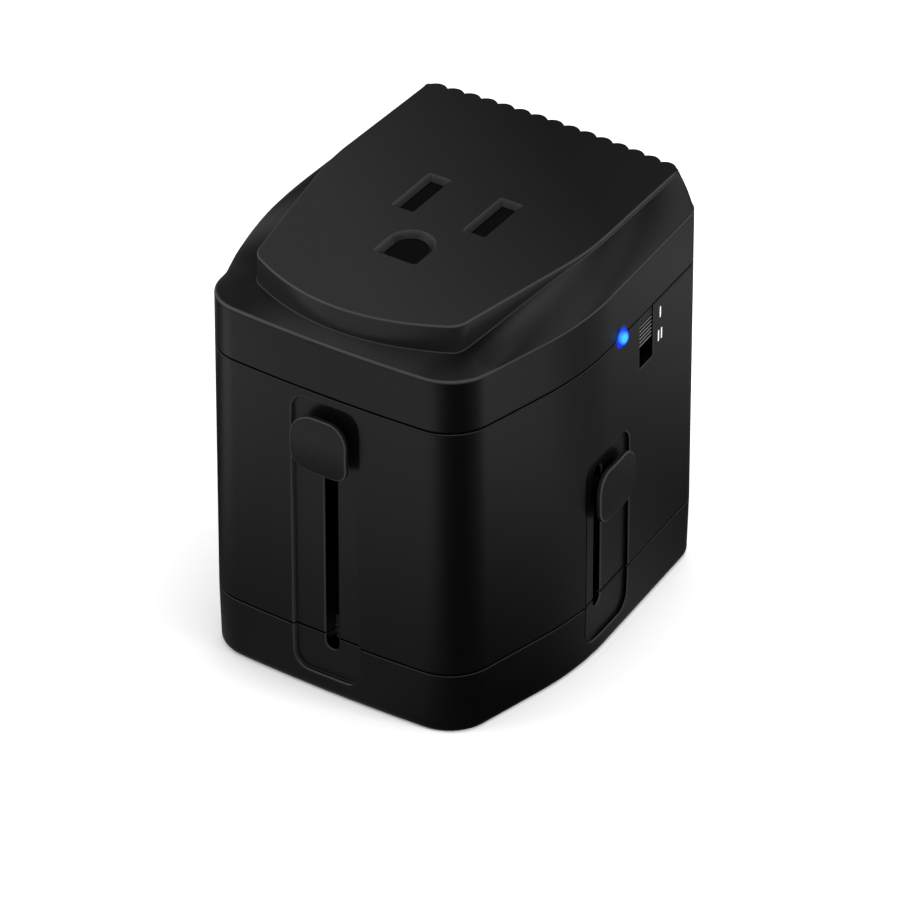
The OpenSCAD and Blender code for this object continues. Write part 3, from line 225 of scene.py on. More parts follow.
class Skin:
    """Points and faces of one piece. In a thin wall every outer point also has an inner place."""

    def __init__(self):
        self.outer, self.inner, self.wear, self.quads, self.tris, self.count = [], [], [], [], [], 0

    def add(self, outer, inner=None, wear=0.0):
        """Adds an array of points, with their painted light for each row or each point: from 0 to 1 a
        painted highlight, below 0 painted shade. Returns their numbers in the same arrangement."""
        numbers = np.arange(outer.size // 3).reshape(outer.shape[:-1]) + self.count
        wear = np.asarray(wear, float)
        wear = wear[:, None] if wear.ndim == 1 and numbers.ndim == 2 else wear
        self.wear.append(np.broadcast_to(wear, numbers.shape).ravel())
        self.outer.append(outer.reshape(-1, 3))
        self.inner.append((outer if inner is None else inner).reshape(-1, 3))
        self.count += numbers.size
        return numbers

    def weave(self, numbers, loop=False, keep=None, flip=False):
        """Quads between neighbouring rows and columns of point numbers."""
        grid = np.concatenate([numbers, numbers[:, :1]], 1) if loop else numbers
        quads = np.stack([grid[:-1, :-1], grid[:-1, 1:], grid[1:, 1:], grid[1:, :-1]], -1)
        quads = quads.reshape(-1, 4) if keep is None else quads[keep]
        self.quads.append(quads[:, ::-1] if flip else quads)

    def fill(self, rings, flat, flip=False):
        """Triangles on a flat area inside the first ring and outside the others."""
        sizes = np.array([len(r) for r in rings])
        ring_of = np.repeat(np.arange(len(rings)), sizes)
        first = np.repeat(np.cumsum(sizes) - sizes, sizes)
        here = np.arange(sizes.sum())
        after = first + (here - first + 1) % sizes[ring_of]
        edges = np.stack([here, after], 1).tolist()
        found = delaunay_2d_cdt([Vector(p) for p in np.concatenate(flat)], edges, [], 1, 1e-7)
        tris = np.array([o[0] for o in found[3]])[np.array(found[2])]
        ring = ring_of[tris]
        in_hole = (ring == ring[:, :1]).all(1) & (ring[:, 0] > 0)
        tris = np.concatenate(rings)[tris[~in_hole]]
        self.tris.append(tris[:, ::-1] if flip else tris)

    def fan(self, ring, centre, flip=False):
        """Triangles from a closed ring of point numbers to one middle point."""
        painted = np.concatenate(self.wear)[ring].mean()
        tip = np.broadcast_to(self.add(np.array([centre]), wear=painted)[0], ring.shape)
        tris = np.stack([ring, np.roll(ring, -1), tip], 1)
        self.tris.append(tris[:, ::-1] if flip else tris)

    def loft(self, rings, flip=False, wear=0.0):
        """Closed solid through a stack of rings, with flat ends."""
        numbers = self.add(rings, wear=wear)
        self.weave(numbers, loop=True, flip=flip)
        self.fan(numbers[-1], rings[-1].mean(0), flip)
        self.fan(numbers[0], rings[0].mean(0), not flip)

    def tube(self, rings):
        """Ring-shaped solid: a closed profile of rings, outside upwards and inside downwards."""
        numbers = self.add(rings)
        self.weave(np.concatenate([numbers, numbers[:1]]), loop=True)

    def bore(self, outer, inner, wear=0.0, flip=False):
        """Hole through a thin wall: rings from its mouth inwards. Returns the numbers of the mouth."""
        numbers = self.add(np.array(outer), np.array(inner), wear)
        self.weave(numbers, loop=True, flip=flip)
        return numbers[0]

    def thicken(self):
        """Turns the outer faces into a closed wall: the inner faces look the other way, and a strip joins
        the two along every edge that only one face uses."""
        outer, inner = np.concatenate(self.outer), np.concatenate(self.inner)
        quads = np.concatenate(self.quads)
        tris = np.concatenate(self.tris) if self.tris else np.zeros((0, 3), int)
        n = len(outer)
        edges = np.concatenate([np.stack([f, np.roll(f, -1, 1)], -1).reshape(-1, 2) for f in (quads, tris)])
        code, back = edges @ [n, 1], edges @ [1, n]
        a, b = edges[~np.isin(code, back)].T
        strip = np.stack([b, a, a + n, b + n], 1)
        self.quads = [quads, quads[:, ::-1] + n, strip]
        self.tris = [tris, tris[:, ::-1] + n]
        self.outer, self.inner, self.count = [outer, inner], [outer, inner], 2 * n
        self.wear = self.wear + [np.zeros(n)]

    def bare(self, name, finish, crease=40):
        """Makes the object in one finish, smooth but for edges sharper than the crease."""
        mesh = bpy.data.meshes.new(name)
        faces = [f.tolist() for f in self.quads + self.tris]
        mesh.from_pydata((np.concatenate(self.outer) * MM).tolist(), [], [f for part in faces for f in part])
        mesh.attributes.new("wear", "FLOAT", "POINT").data.foreach_set("value", np.concatenate(self.wear))
        mesh.shade_smooth()
        mesh.set_sharp_from_angle(angle=np.radians(crease))
        mesh.materials.append(finish)
        made = bpy.data.objects.new(name, mesh)
        bpy.context.scene.collection.objects.link(made)
        return made

    def piece(self, name, body, slot, replaced=(), crease=40):
        """Makes the piece in the finish of its slot, with even normals, riding on its body."""
        made = self.bare(name, FINISH[slot], crease)
        made.modifiers.new("even_normals", "WEIGHTED_NORMAL").keep_sharp = True
        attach(made, body)
        if replaced:
            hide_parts(*replaced)
        return made


class Face:
    """Frame on an outer face: along it counter-clockwise, into the body, and up."""

    def __init__(self, origin, along):
        self.origin, self.along = np.array(origin), np.array(along)
        self.inward = np.array([-self.along[1], self.along[0]])

    def place(self, x, depth, z):
        x, depth, z = np.broadcast_arrays(x, depth, z)
        flat = self.origin + x[..., None] * self.along + depth[..., None] * self.inward
        return np.concatenate([flat, z[..., None]], -1)

    def ring(self, flat, depth, x=0.0, z=0.0):
        """A flat outline moved to x and z on the face, at a depth."""
        return self.place(x + flat[:, 0], depth, z + flat[:, 1])

    def local(self, flat):
        return (flat - self.origin) @ self.along, (flat - self.origin) @ self.inward


def right_face(y):
    return Face([side_x(y), y], [-np.sin(SIDE_ANGLE), np.cos(SIDE_ANGLE)])


def left_face(y):
    return Face([-side_x(y), y], [-np.sin(SIDE_ANGLE), -np.cos(SIDE_ANGLE)])


FRONT_FACE = Face([0.0, FRONT_Y], [1.0, 0.0])


def on_outlet(flat, depth):
    """Flat points of the outlet plate, measured from its blade slots, at a depth below the tilted face."""
    u, v = flat[..., 0], flat[..., 1]
    c, s = np.cos(FACE_TILT), np.sin(FACE_TILT)
    return np.stack([u, OUTLET_Y + v * c + depth * s, face_height(OUTLET_Y) + v * s - depth * c + 0 * u], -1)


# The body's outline by arc length from the back middle, with outward normals
DENSE = body_loop(0, fine=6)
DENSE = np.roll(DENSE, len(DENSE) // 2, 0)
NORMALS = loop_normals(DENSE)
STEPS = np.linalg.norm(np.roll(DENSE, -1, 0) - DENSE, axis=1)
LENGTHS = np.concatenate([[0], np.cumsum(STEPS)[:-1]])


def by_length(s, values):
    """Values of the dense outline at the arc lengths s."""
    return np.stack([np.interp(s, LENGTHS, values[:, 0]), np.interp(s, LENGTHS, values[:, 1])], -1)


def columns(pockets):
    """Arc lengths of a wall's columns: steps under 3 degrees of turn and 1.6 mm, and the pockets' own."""
    heading = np.unwrap(np.arctan2(NORMALS[:, 1], NORMALS[:, 0]))
    density = np.maximum(1 / 1.6, np.abs(np.gradient(heading, LENGTHS)) / np.radians(3))
    total = np.concatenate([[0], np.cumsum(density[:-1] * STEPS[:-1])])
    free = np.interp(np.arange(int(total[-1])), total, LENGTHS)
    for p in pockets:
        free = free[(free < p.lengths[0] - 0.2) | (free > p.lengths[-1] + 0.2)]
    return np.unique(np.round(np.concatenate([free] + [p.lengths for p in pockets]), 5))


class Pocket:
    """Pocket with round corners that runs from one rim of a wall to its closed end, up or down. With a
    slot it is a slider's recess and has a floor. wall_wear paints light on its left wall and floor_light on
    its floor, the edges on plain_side (1 is right, -1 left) get no painted highlight, and dark_wall paints
    shade on its wall, dull and near-black."""

    def __init__(self, face, half, end, corner, up, margin, slot_end=None, slot_x=0.0, wall_wear=0.0,
                 floor_light=0.0, plain_side=0, dark_wall=0.0):
        self.face, self.half, self.corner, self.up = face, half, corner, up
        self.tip, self.reach, self.border = up * end, half + margin, up * end + margin
        self.slot_tip, self.slot_x = None if slot_end is None else up * slot_end, slot_x
        self.wall_wear, self.floor_light = wall_wear, floor_light
        self.plain_side, self.dark_wall = plain_side, dark_wall
        x, depth = face.local(DENSE)
        near = (np.abs(x) < self.reach + 3) & (depth < 6)
        self.skin_x, self.skin_depth = x[near], depth[near]
        core = half - corner
        wings = np.linspace(-self.reach, -core, 8)
        self.xs = np.concatenate([wings, np.linspace(-core, core, 9)[1:-1], -wings[::-1]])
        self.lengths = np.interp(self.xs, self.skin_x, LENGTHS[near])
        self.rows = up * np.linspace(self.tip - corner, self.border, 8)

    def skin(self, x):
        """Depth of the wall's outer face below the flat frame."""
        return np.interp(x, self.skin_x, self.skin_depth)

    def find(self, numbers, lengths, zs):
        """Stations along the pocket's border in the wall's grid, from the open rim round the closed end and
        back. Returns the grid cells that the pocket takes out."""
        grid, zeta = (numbers, zs) if self.up > 0 else (numbers[::-1], -zs[::-1])
        c = np.flatnonzero((lengths > self.lengths[0] - 1e-4) & (lengths < self.lengths[-1] + 1e-4))
        last = np.argmin(np.abs(zeta - self.border))
        xs = np.interp(lengths[c], self.lengths, self.xs)
        self.border_numbers = np.concatenate([grid[:last + 1, c[0]], grid[last, c[1:-1]],
                                              grid[last::-1, c[-1]]])
        self.x = np.concatenate([np.full(last + 1, xs[0]), xs[1:-1], np.full(last + 1, xs[-1])])
        self.zeta = np.concatenate([zeta[:last + 1], np.full(len(c) - 2, zeta[last]), zeta[last::-1]])
        self.on_side = np.repeat([True, False, True], [last + 1, len(c) - 2, last + 1])
        self.straight = self.on_side & (self.zeta <= self.tip - self.corner + 1e-4)
        taken = np.zeros((len(zs) - 1, len(lengths)), bool)
        rows = slice(0, last) if self.up > 0 else slice(len(zs) - 1 - last, None)
        taken[rows, c[0]:c[-1]] = True
        return taken

    def edge(self, delta):
        """The pocket's outline moved outwards by delta: straight sides, quarter arcs, level end."""
        core, arc_z = self.half - self.corner, self.tip - self.corner
        climb = np.clip((self.zeta - arc_z) / (self.border - arc_z), 0, 1)
        inwards = np.clip((self.reach - np.abs(self.x)) / (self.reach - core), 0, 1)
        turn = np.pi / 4 * np.where(self.on_side, climb, 1 + inwards)
        level = ~self.on_side & (np.abs(self.x) <= core)
        r = self.corner + delta
        bent_x = np.where(level, np.abs(self.x), core + r * np.cos(turn))
        bent_z = np.where(level, self.tip + delta, arc_z + r * np.sin(turn))
        x = np.where(self.straight, self.half + delta, bent_x)
        return np.sign(self.x) * x, np.where(self.straight, self.zeta, bent_z)

    def slot(self, delta):
        """The slot's outline moved outwards by delta: straight sides and a half circle."""
        r, arc_z, open_z = SLOT_W / 2, self.tip - self.corner, self.zeta[0]
        along = open_z + (self.zeta - open_z) * (self.slot_tip - r - open_z) / (arc_z - open_z)
        bent = np.flatnonzero(~self.straight)
        turn = np.pi * (np.arange(len(self.x)) - bent[0] + 1) / (bent[-1] - bent[0] + 2)
        x = np.where(self.straight, np.sign(self.x) * (r + delta), -(r + delta) * np.cos(turn))
        z = np.where(self.straight, along, self.slot_tip - r + (r + delta) * np.sin(turn))
        return self.slot_x + x, z

    def carve(self, skin, extra):
        """Adds the pocket to the wall: a rounded edge, and the plain sides of a window or the floor and
        slot of a recess. extra gives the depth that the rims and the base take off the wall at a
        height."""
        outer, inner, wear = [], [], []

        def ring(flat, depth, back, back_depth, painted=0.0):
            z = self.up * flat[1]
            outer.append(self.face.place(flat[0], depth + extra(z), z))
            inner.append(self.face.place(back[0], back_depth, self.up * back[1]))
            wear.append(np.broadcast_to(painted, self.x.shape))

        # Painted light on the left wall and painted highlights on the edges but for the plain side;
        # dark_wall paints shade
        left = (self.corner - self.half - self.x) / (self.reach - self.half + self.corner)
        lit = self.wall_wear * np.clip(left, 0, 1)
        keep = np.clip((self.half - self.plain_side * self.x) / 1.5, 0, 1)
        edge_r = 0.1 if self.slot_tip is None else 0.24
        flat = self.edge(edge_r + 0.25)
        ring(flat, self.skin(flat[0]), self.edge(edge_r + 0.55), WALL)
        for a, painted in zip(QUARTER, QUARTER_LIGHT):
            flat = self.edge(edge_r * (1 - np.sin(a)))
            depth = self.skin(flat[0]) + edge_r * (1 - np.cos(a))
            painted = np.maximum(painted * keep, lit * np.sin(a)) - self.dark_wall * smooth((a - 0.7) / 0.5)
            ring(flat, depth, self.edge(edge_r + 0.5 - 0.04 * a), WALL + 0.03 * a, painted)
        if self.slot_tip is None:
            for depth, back_depth in ((0.8, 2.2), (1.6, 2.5), (2.3, 2.9)):
                ring(self.edge(0.0), depth, self.edge(0.4 - 0.12 * depth), back_depth)
        else:
            self.carve_floor(ring, lit)
        numbers = skin.add(np.array(outer), np.array(inner), np.array(wear))
        skin.weave(np.concatenate([self.border_numbers[None], numbers]), flip=self.up > 0)

    def carve_floor(self, ring, lit):
        """Rings of a recess below its edge: rounded foot, floor, and the slot's rounded edge and sides,
        which are painted dull and dark as shade."""
        for a in QUARTER:
            flat = self.edge(-RECESS_FOOT_R * (1 - np.cos(a)))
            depth = RECESS_DEPTH - RECESS_FOOT_R * (1 - np.sin(a))
            # Painted light on the foot from the left wall and on the floor; dark_wall paints shade on the
            # foot
            painted = np.maximum(lit * (1 - np.sin(a)), self.floor_light * np.sin(a))
            ring(flat, depth, self.edge(0.4 - 0.05 * a), 2.6 + 0.25 * a, painted - self.dark_wall * np.cos(a))
        near, far = self.edge(-RECESS_FOOT_R - 0.2), self.slot(SLOT_EDGE_R + 0.15)
        for t in (0, 0.35, 0.7, 1):
            flat = [(1 - t) * p + t * q for p, q in zip(near, far)]
            ring(flat, RECESS_DEPTH, flat, RECESS_BACK, self.floor_light)
        # The slot's edge gets painted highlights on its seen side; its sides below are painted shade
        for a, painted in zip(QUARTER, QUARTER_LIGHT):
            flat = self.slot(SLOT_EDGE_R * (1 - np.sin(a)))
            depth = RECESS_DEPTH + SLOT_EDGE_R * (1 - np.cos(a))
            seen = np.clip(0.5 - self.plain_side * (flat[0] - self.slot_x) / SLOT_W, 0, 1)
            back = self.slot(SLOT_EDGE_R + 0.12 - 0.05 * a)
            ring(flat, depth, back, RECESS_BACK, painted * seen if a < 1.2 else DEEP)
        for depth in (1.0, 2.7):
            ring(self.slot(0), depth, self.slot(0.01), RECESS_BACK, DEEP)


def rim_round(z, low, high):
    """Depth of the small quarter round at a seam's rims; None leaves a rim square."""
    depth = np.zeros(np.shape(z))
    for rim in (low, high):
        if rim is not None:
            near = np.clip(SEAM_R - np.abs(z - rim), 0, SEAM_R)
            depth = depth + SEAM_R - np.sqrt(SEAM_R ** 2 - near ** 2)
    return depth


def wall_rows(z0, z1, special, step=3.0):
    """Heights of a wall's rows: the given ones and even steps between them."""
    marks = np.unique(np.round(np.concatenate([[z0, z1], special]), 4))
    rows = [np.linspace(a, b, int(np.ceil((b - a) / step)) + 1)[:-1] for a, b in zip(marks[:-1], marks[1:])]
    return np.concatenate(rows + [[z1]])


def wall_grid(skin, zs, pockets, extra, inner_z):
    """Outer wall as a grid of columns and rows, each point moved in by extra at its height, with the
    pockets carved into it."""
    lengths = columns(pockets)
    flat, normal = by_length(lengths, DENSE), by_length(lengths, NORMALS)
    normal /= np.linalg.norm(normal, axis=1)[:, None]
    off = flat - extra(zs)[:, None, None] * normal
    outer = np.concatenate([off, np.broadcast_to(zs[:, None, None], off.shape[:2] + (1,))], -1)
    back = np.broadcast_to(flat - WALL * normal, off.shape)
    inner = np.concatenate([back, np.broadcast_to(inner_z(zs)[:, None, None], off.shape[:2] + (1,))], -1)
    # The top rim of the wall, below a seam, gets a painted highlight
    painted = np.abs(zs[-1] - 0.2 * SEAM_R - zs) < 0.18 * SEAM_R
    numbers = skin.add(outer, inner, np.where(painted, 0.8, 0.0))
    taken = np.zeros((len(zs) - 1, len(lengths)), bool)
    for p in pockets:
        taken |= p.find(numbers, lengths, zs)
    skin.weave(numbers, loop=True, keep=~taken)
    for p in pockets:
        p.carve(skin, extra)
    return numbers, flat, normal


def lip(skin, seam, gaps):
    """Strips of the lip behind a seam, between the gaps that are left in it, as arc lengths."""
    low, high = seam - LIP_RISE, seam + LIP_RISE
    starts = np.array([b for _, b in gaps])
    ends = np.array([a for a, _ in gaps[1:]] + [gaps[0][0] + LENGTHS[-1] + STEPS[-1]])
    for a, b in zip(starts, ends):
        s = np.linspace(a, b, int((b - a) / 1.2) + 2) % (LENGTHS[-1] + STEPS[-1])
        flat, normal = by_length(s, DENSE), by_length(s, NORMALS)
        corners = ((LIP_OUT, low), (LIP_OUT, high), (LIP_IN, high), (LIP_IN, low))
        rings = np.stack([raised(flat - d * normal, z) for d, z in corners], 1)
        skin.loft(rings, flip=True)


def posts(skin, low, high, bore):
    """Screw posts: a tube at each place from low to high."""
    for p in POSTS:
        sides = ((POST_R, low), (POST_R, high), (bore, high), (bore, low))
        skin.tube(np.stack([raised(circle(r) + p, z) for r, z in sides]))


def slider_pockets(up):
    """The three slider recesses, above the lower seam or below it. A slot ends a little past the stem of
    its knob at the limits of the travel. The front recess has painted light on its left wall, the side
    recesses have painted shade on their walls."""
    left = (left_face(SIDE_SLIDER_Y), SIDE_RECESS_W, LEFT_RECESS_TOP, SIDE_SLOT_X, LEFT_STEM_Z, LEFT_TRAVEL)
    front = (Face([FRONT_RECESS_X, FRONT_Y], [1.0, 0.0]), FRONT_RECESS_W, FRONT_RECESS_TOP, FRONT_SLOT_X,
             FRONT_STEM_Z, FRONT_TRAVEL)
    right = (right_face(SIDE_SLIDER_Y), SIDE_RECESS_W, RIGHT_RECESS_TOP, -SIDE_SLOT_X, RIGHT_STEM_Z,
             RIGHT_TRAVEL)
    made = []
    for (face, width, top, slot_x, stem_z, travel), above, wall_wear, floor_light, plain_side, dark_wall in (
            (left, SIDE_SLOT_ABOVE, 0.0, 0.03, 1, 1.0), (front, SLOT_ROOM, 0.85, 0.05, 1, 0.0),
            (right, SIDE_SLOT_ABOVE, 0.0, 0.03, -1, 1.0)):
        high, low = stem_z + STEM_H / 2 + above, stem_z - travel - STEM_H / 2 - SLOT_ROOM
        end, slot_end = (top, high) if up > 0 else (RECESS_LOW, low)
        made.append(Pocket(face, width / 2, end, RECESS_R, up, 1.0, slot_end, slot_x, wall_wear, floor_light,
                           plain_side, dark_wall))
    return made


def mid_shell():
    """Middle body: the outline between the two seams, with the upper part of the sliders and the switch
    window."""
    skin = Skin()
    z0, z1 = LOW_SEAM + SEAM_GAP / 2, HIGH_SEAM - SEAM_GAP / 2
    pockets = slider_pockets(1) + [Pocket(right_face(SWITCH_Y), WINDOW_W / 2, WINDOW_Z, 0.3, -1, 0.7)]
    rims = SEAM_R * (1 - np.cos(QUARTER))
    special = np.concatenate([z0 + rims, [z0 + 0.4], z1 - rims, [z1 - 0.4]] + [p.rows for p in pockets])
    zs = wall_rows(z0, z1, special)
    wall_grid(skin, zs, pockets, lambda z: rim_round(z, z0, z1), lambda z: z)
    skin.thicken()
    gap = pockets[-1].lengths
    lip(skin, z1, [(gap[0], gap[-1])])
    posts(skin, z0, POST_TOP_Z, POST_BORE)
    return skin.piece("mid_shell", "housing", "shell", ["mid_body"])


def base_pull(z):
    """How far the base draws in: slightly over its height, and quickly in its lowest millimetre."""
    draft = BASE_DRAFT * np.clip(1 - z / 9.9, 0, 1)
    return draft + (FOOT_PULL - BASE_DRAFT) * np.clip(1 - z / 1.2, 0, 1) ** 2.4


def pin_opening(skin, middle, degrees, half, r):
    """Opening for a pin through the base: a turned rectangle with a rounded edge. Returns the numbers of
    its mouth and the mouth's flat ring."""
    def ring(grow, z):
        room = PIN_ROOM + grow
        return raised(round_rect(half[0] + room, half[1] + room, r + grow) @ turned(degrees) + middle, z)

    steps = ((0.55, 0), (0.2, 0), (0.13, 0.015), (0.06, 0.06), (0.015, 0.13), (0, 0.2), (0, 1.7))
    outer = [ring(grow, z) for grow, z in steps]
    inner = [ring(max(grow, 0.02 * (len(steps) - k)), FLOOR_T) for k, (grow, _) in enumerate(steps)]
    return skin.bore(outer, inner, flip=True), outer[0][:, :2]


def screw_recess(skin, middle):
    """Recess of a screw in the base, as rings of a radius and a height on the outside and on the inside.
    Returns the numbers of its mouth and the mouth's flat ring."""
    steps = ((3.4, 0, 4.0, 2), (3.1, 0, 3.8, 2), (2.96, 0.04, 3.5, 2), (2.9, 0.14, 3.4, 2.2),
             (2.9, 1.8, 3.4, 3), (2.9, 3.3, 3.4, 4.4), (POST_BORE, 3.4, POST_BORE, 4.4))
    outer = [raised(circle(r) + middle, z) for r, z, _, _ in steps]
    inner = [raised(circle(r) + middle, z) for _, _, r, z in steps]
    return skin.bore(outer, inner, flip=True), outer[0][:, :2]


def base_shell():
    """Bottom cover: a low wall with the lower ends of the sliders, and a floor with the plugs' openings and
    the screw recesses."""
    skin = Skin()
    z1 = LOW_SEAM - SEAM_GAP / 2
    pockets = slider_pockets(-1)
    rims = SEAM_R * (1 - np.cos(QUARTER))
    low = np.array([0.06, 0.16, 0.3, 0.5, 0.75, 1.0, 1.25])
    special = np.concatenate([low, z1 - rims, [z1 - 0.4]] + [p.rows for p in pockets])
    zs = wall_rows(0.0, z1, special, 2.0)
    numbers, flat, normal = wall_grid(skin, zs, pockets, lambda z: base_pull(z) + rim_round(z, None, z1),
                                      lambda z: FLOOR_T + z * (z1 - FLOOR_T) / z1)
    edge = flat - (FOOT_PULL + 0.25) * normal
    support = flat - (FOOT_PULL + 0.8) * normal
    back = flat - (WALL + 0.4) * normal
    rings = skin.add(np.stack([raised(edge, 0), raised(support, 0)]),
                     np.stack([raised(back, FLOOR_T), raised(back - 0.4 * normal, FLOOR_T)]))
    skin.weave(np.concatenate([rings[::-1], numbers[:1]]), loop=True)
    openings = (((0, EU_Y), 0, EU_PLINTH, 0.6), ((UK_X, UK_Y), 0, UK_PIN, 0.5),
                ((-UK_X, UK_Y), 0, UK_PIN, 0.5), ((0, EARTH_Y), 0, EARTH_PIN, 0.5),
                ((AU_X, AU_Y), AU_TURN, AU_BLADE, 0.4), ((-AU_X, AU_Y), -AU_TURN, AU_BLADE, 0.4))
    holes = [pin_opening(skin, *opening) for opening in openings] + [screw_recess(skin, p) for p in POSTS]
    mouths, places = zip(*holes)
    skin.fill([rings[1], *mouths], [support, *places], flip=True)
    skin.thicken()
    lip(skin, z1, [(p.lengths[0] - 1.5, p.lengths[-1] + 1.5) for p in pockets])
    posts(skin, POST_LOW_Z, z1, POST_BORE)
    return skin.piece("base_shell", "housing", "shell", ["bottom_cover"])


def shoulder_light(foot, swell, left, right):
    """Painted light on the shoulder at each column, as a function of the way t from the rim to the foot: the
    ledge in front and the middle of the right shoulder are lightened, with painted shade towards the back of
    the right shoulder, and two painted highlights that start part of the way up, near the front of the left
    shoulder and beside the outlet plate on the right."""
    x, y = foot.T
    ledge = 0.36 * (1 - swell) * smooth((x + 16) / 10) * smooth((20 - x) / 7)
    right_light = (0.12 + 0.18 * smooth((y + 14) / 12)) * (1 - smooth((y + 3) / 8))
    even = np.maximum(ledge, swell * right * right_light) - 0.45 * right * smooth((y - 8) / 9)
    left_highlight = 0.65 * swell * left * np.exp(-((y + 11.5) / 5) ** 2)
    near_plate = 0.3 * swell * right * np.exp(-((y + 13) / 6) ** 2)
    return lambda t: even + left_highlight * smooth((t - 0.2) / 0.3) + near_plate * smooth((t - 0.55) / 0.3)


def outlet_mouth(skin, shape, middle, steps):
    """Lead-in of the outlet: rings of a shape, each with its sizes and depth, from a rounded edge down
    sloping sides to a slot through the roof. The underside is wider by a small step for each ring.
    Returns the numbers of the mouth and its flat ring."""
    outer = [on_outlet(shape(0, *sizes) + middle, depth) for *sizes, depth in steps]
    spread = 0.04 * np.arange(len(steps))[::-1]
    inner = [on_outlet(shape(grow, *sizes) + middle, ROOF_T) for grow, (*sizes, _) in zip(spread, steps)]
    # The mouth's rings carry painted highlights on its rounded edge
    return skin.bore(outer, inner, MOUTH_LIGHT), shape(0, *steps[0][:-1]) + middle


def outlet_mouths(skin):
    """The two blade mouths and the ground mouth, as numbers and flat rings."""
    def blade(grow, half_w, half_h, r):
        return round_rect(half_w + grow, half_h + grow, r + grow)

    def ground(grow, r, corner):
        return d_shape(r + grow, corner)

    edge = ((-0.5, 0), (-0.12, 0), (-0.05, 0.015), (0.02, 0.06), (0.08, 0.13))
    blade_steps = [(1.94 - d, 4.8 - d, 0.35, z) for d, z in edge]
    blade_steps += [(1.14, 3.94, 0.2, 0.7), (1.1, 3.9, 0.16, 0.78), (1.1, 3.9, 0.16, 1.95)]
    ground_steps = [(3.8 - d, 0.7, z) for d, z in edge]
    ground_steps += [(2.82, 0.4, 0.7), (2.75, 0.35, 0.78), (2.75, 0.35, 1.95)]
    made = [outlet_mouth(skin, blade, [x, 0], blade_steps) for x in (-BLADE_PITCH / 2, BLADE_PITCH / 2)]
    return made + [outlet_mouth(skin, ground, [0, -GROUND_OFFSET], ground_steps)]


def contact_wells(skin):
    """Wells round the contacts, below the roof: rectangular tubes."""
    blade, ground, x = (2.05, 4.3), (3.55, 3.1), BLADE_PITCH / 2
    for middle, half in (([-x, 0], blade), ([x, 0], blade), ([0, -GROUND_OFFSET], ground)):
        sides = ((WELL_WALL, WELL_FOOT), (WELL_WALL, WELL_TOP), (0, WELL_TOP), (0, WELL_FOOT))
        rings = [(round_rect(half[0] + g, half[1] + g, 0.2 + g) + middle, depth) for g, depth in sides]
        skin.tube(np.stack([on_outlet(flat, depth) for flat, depth in rings]))


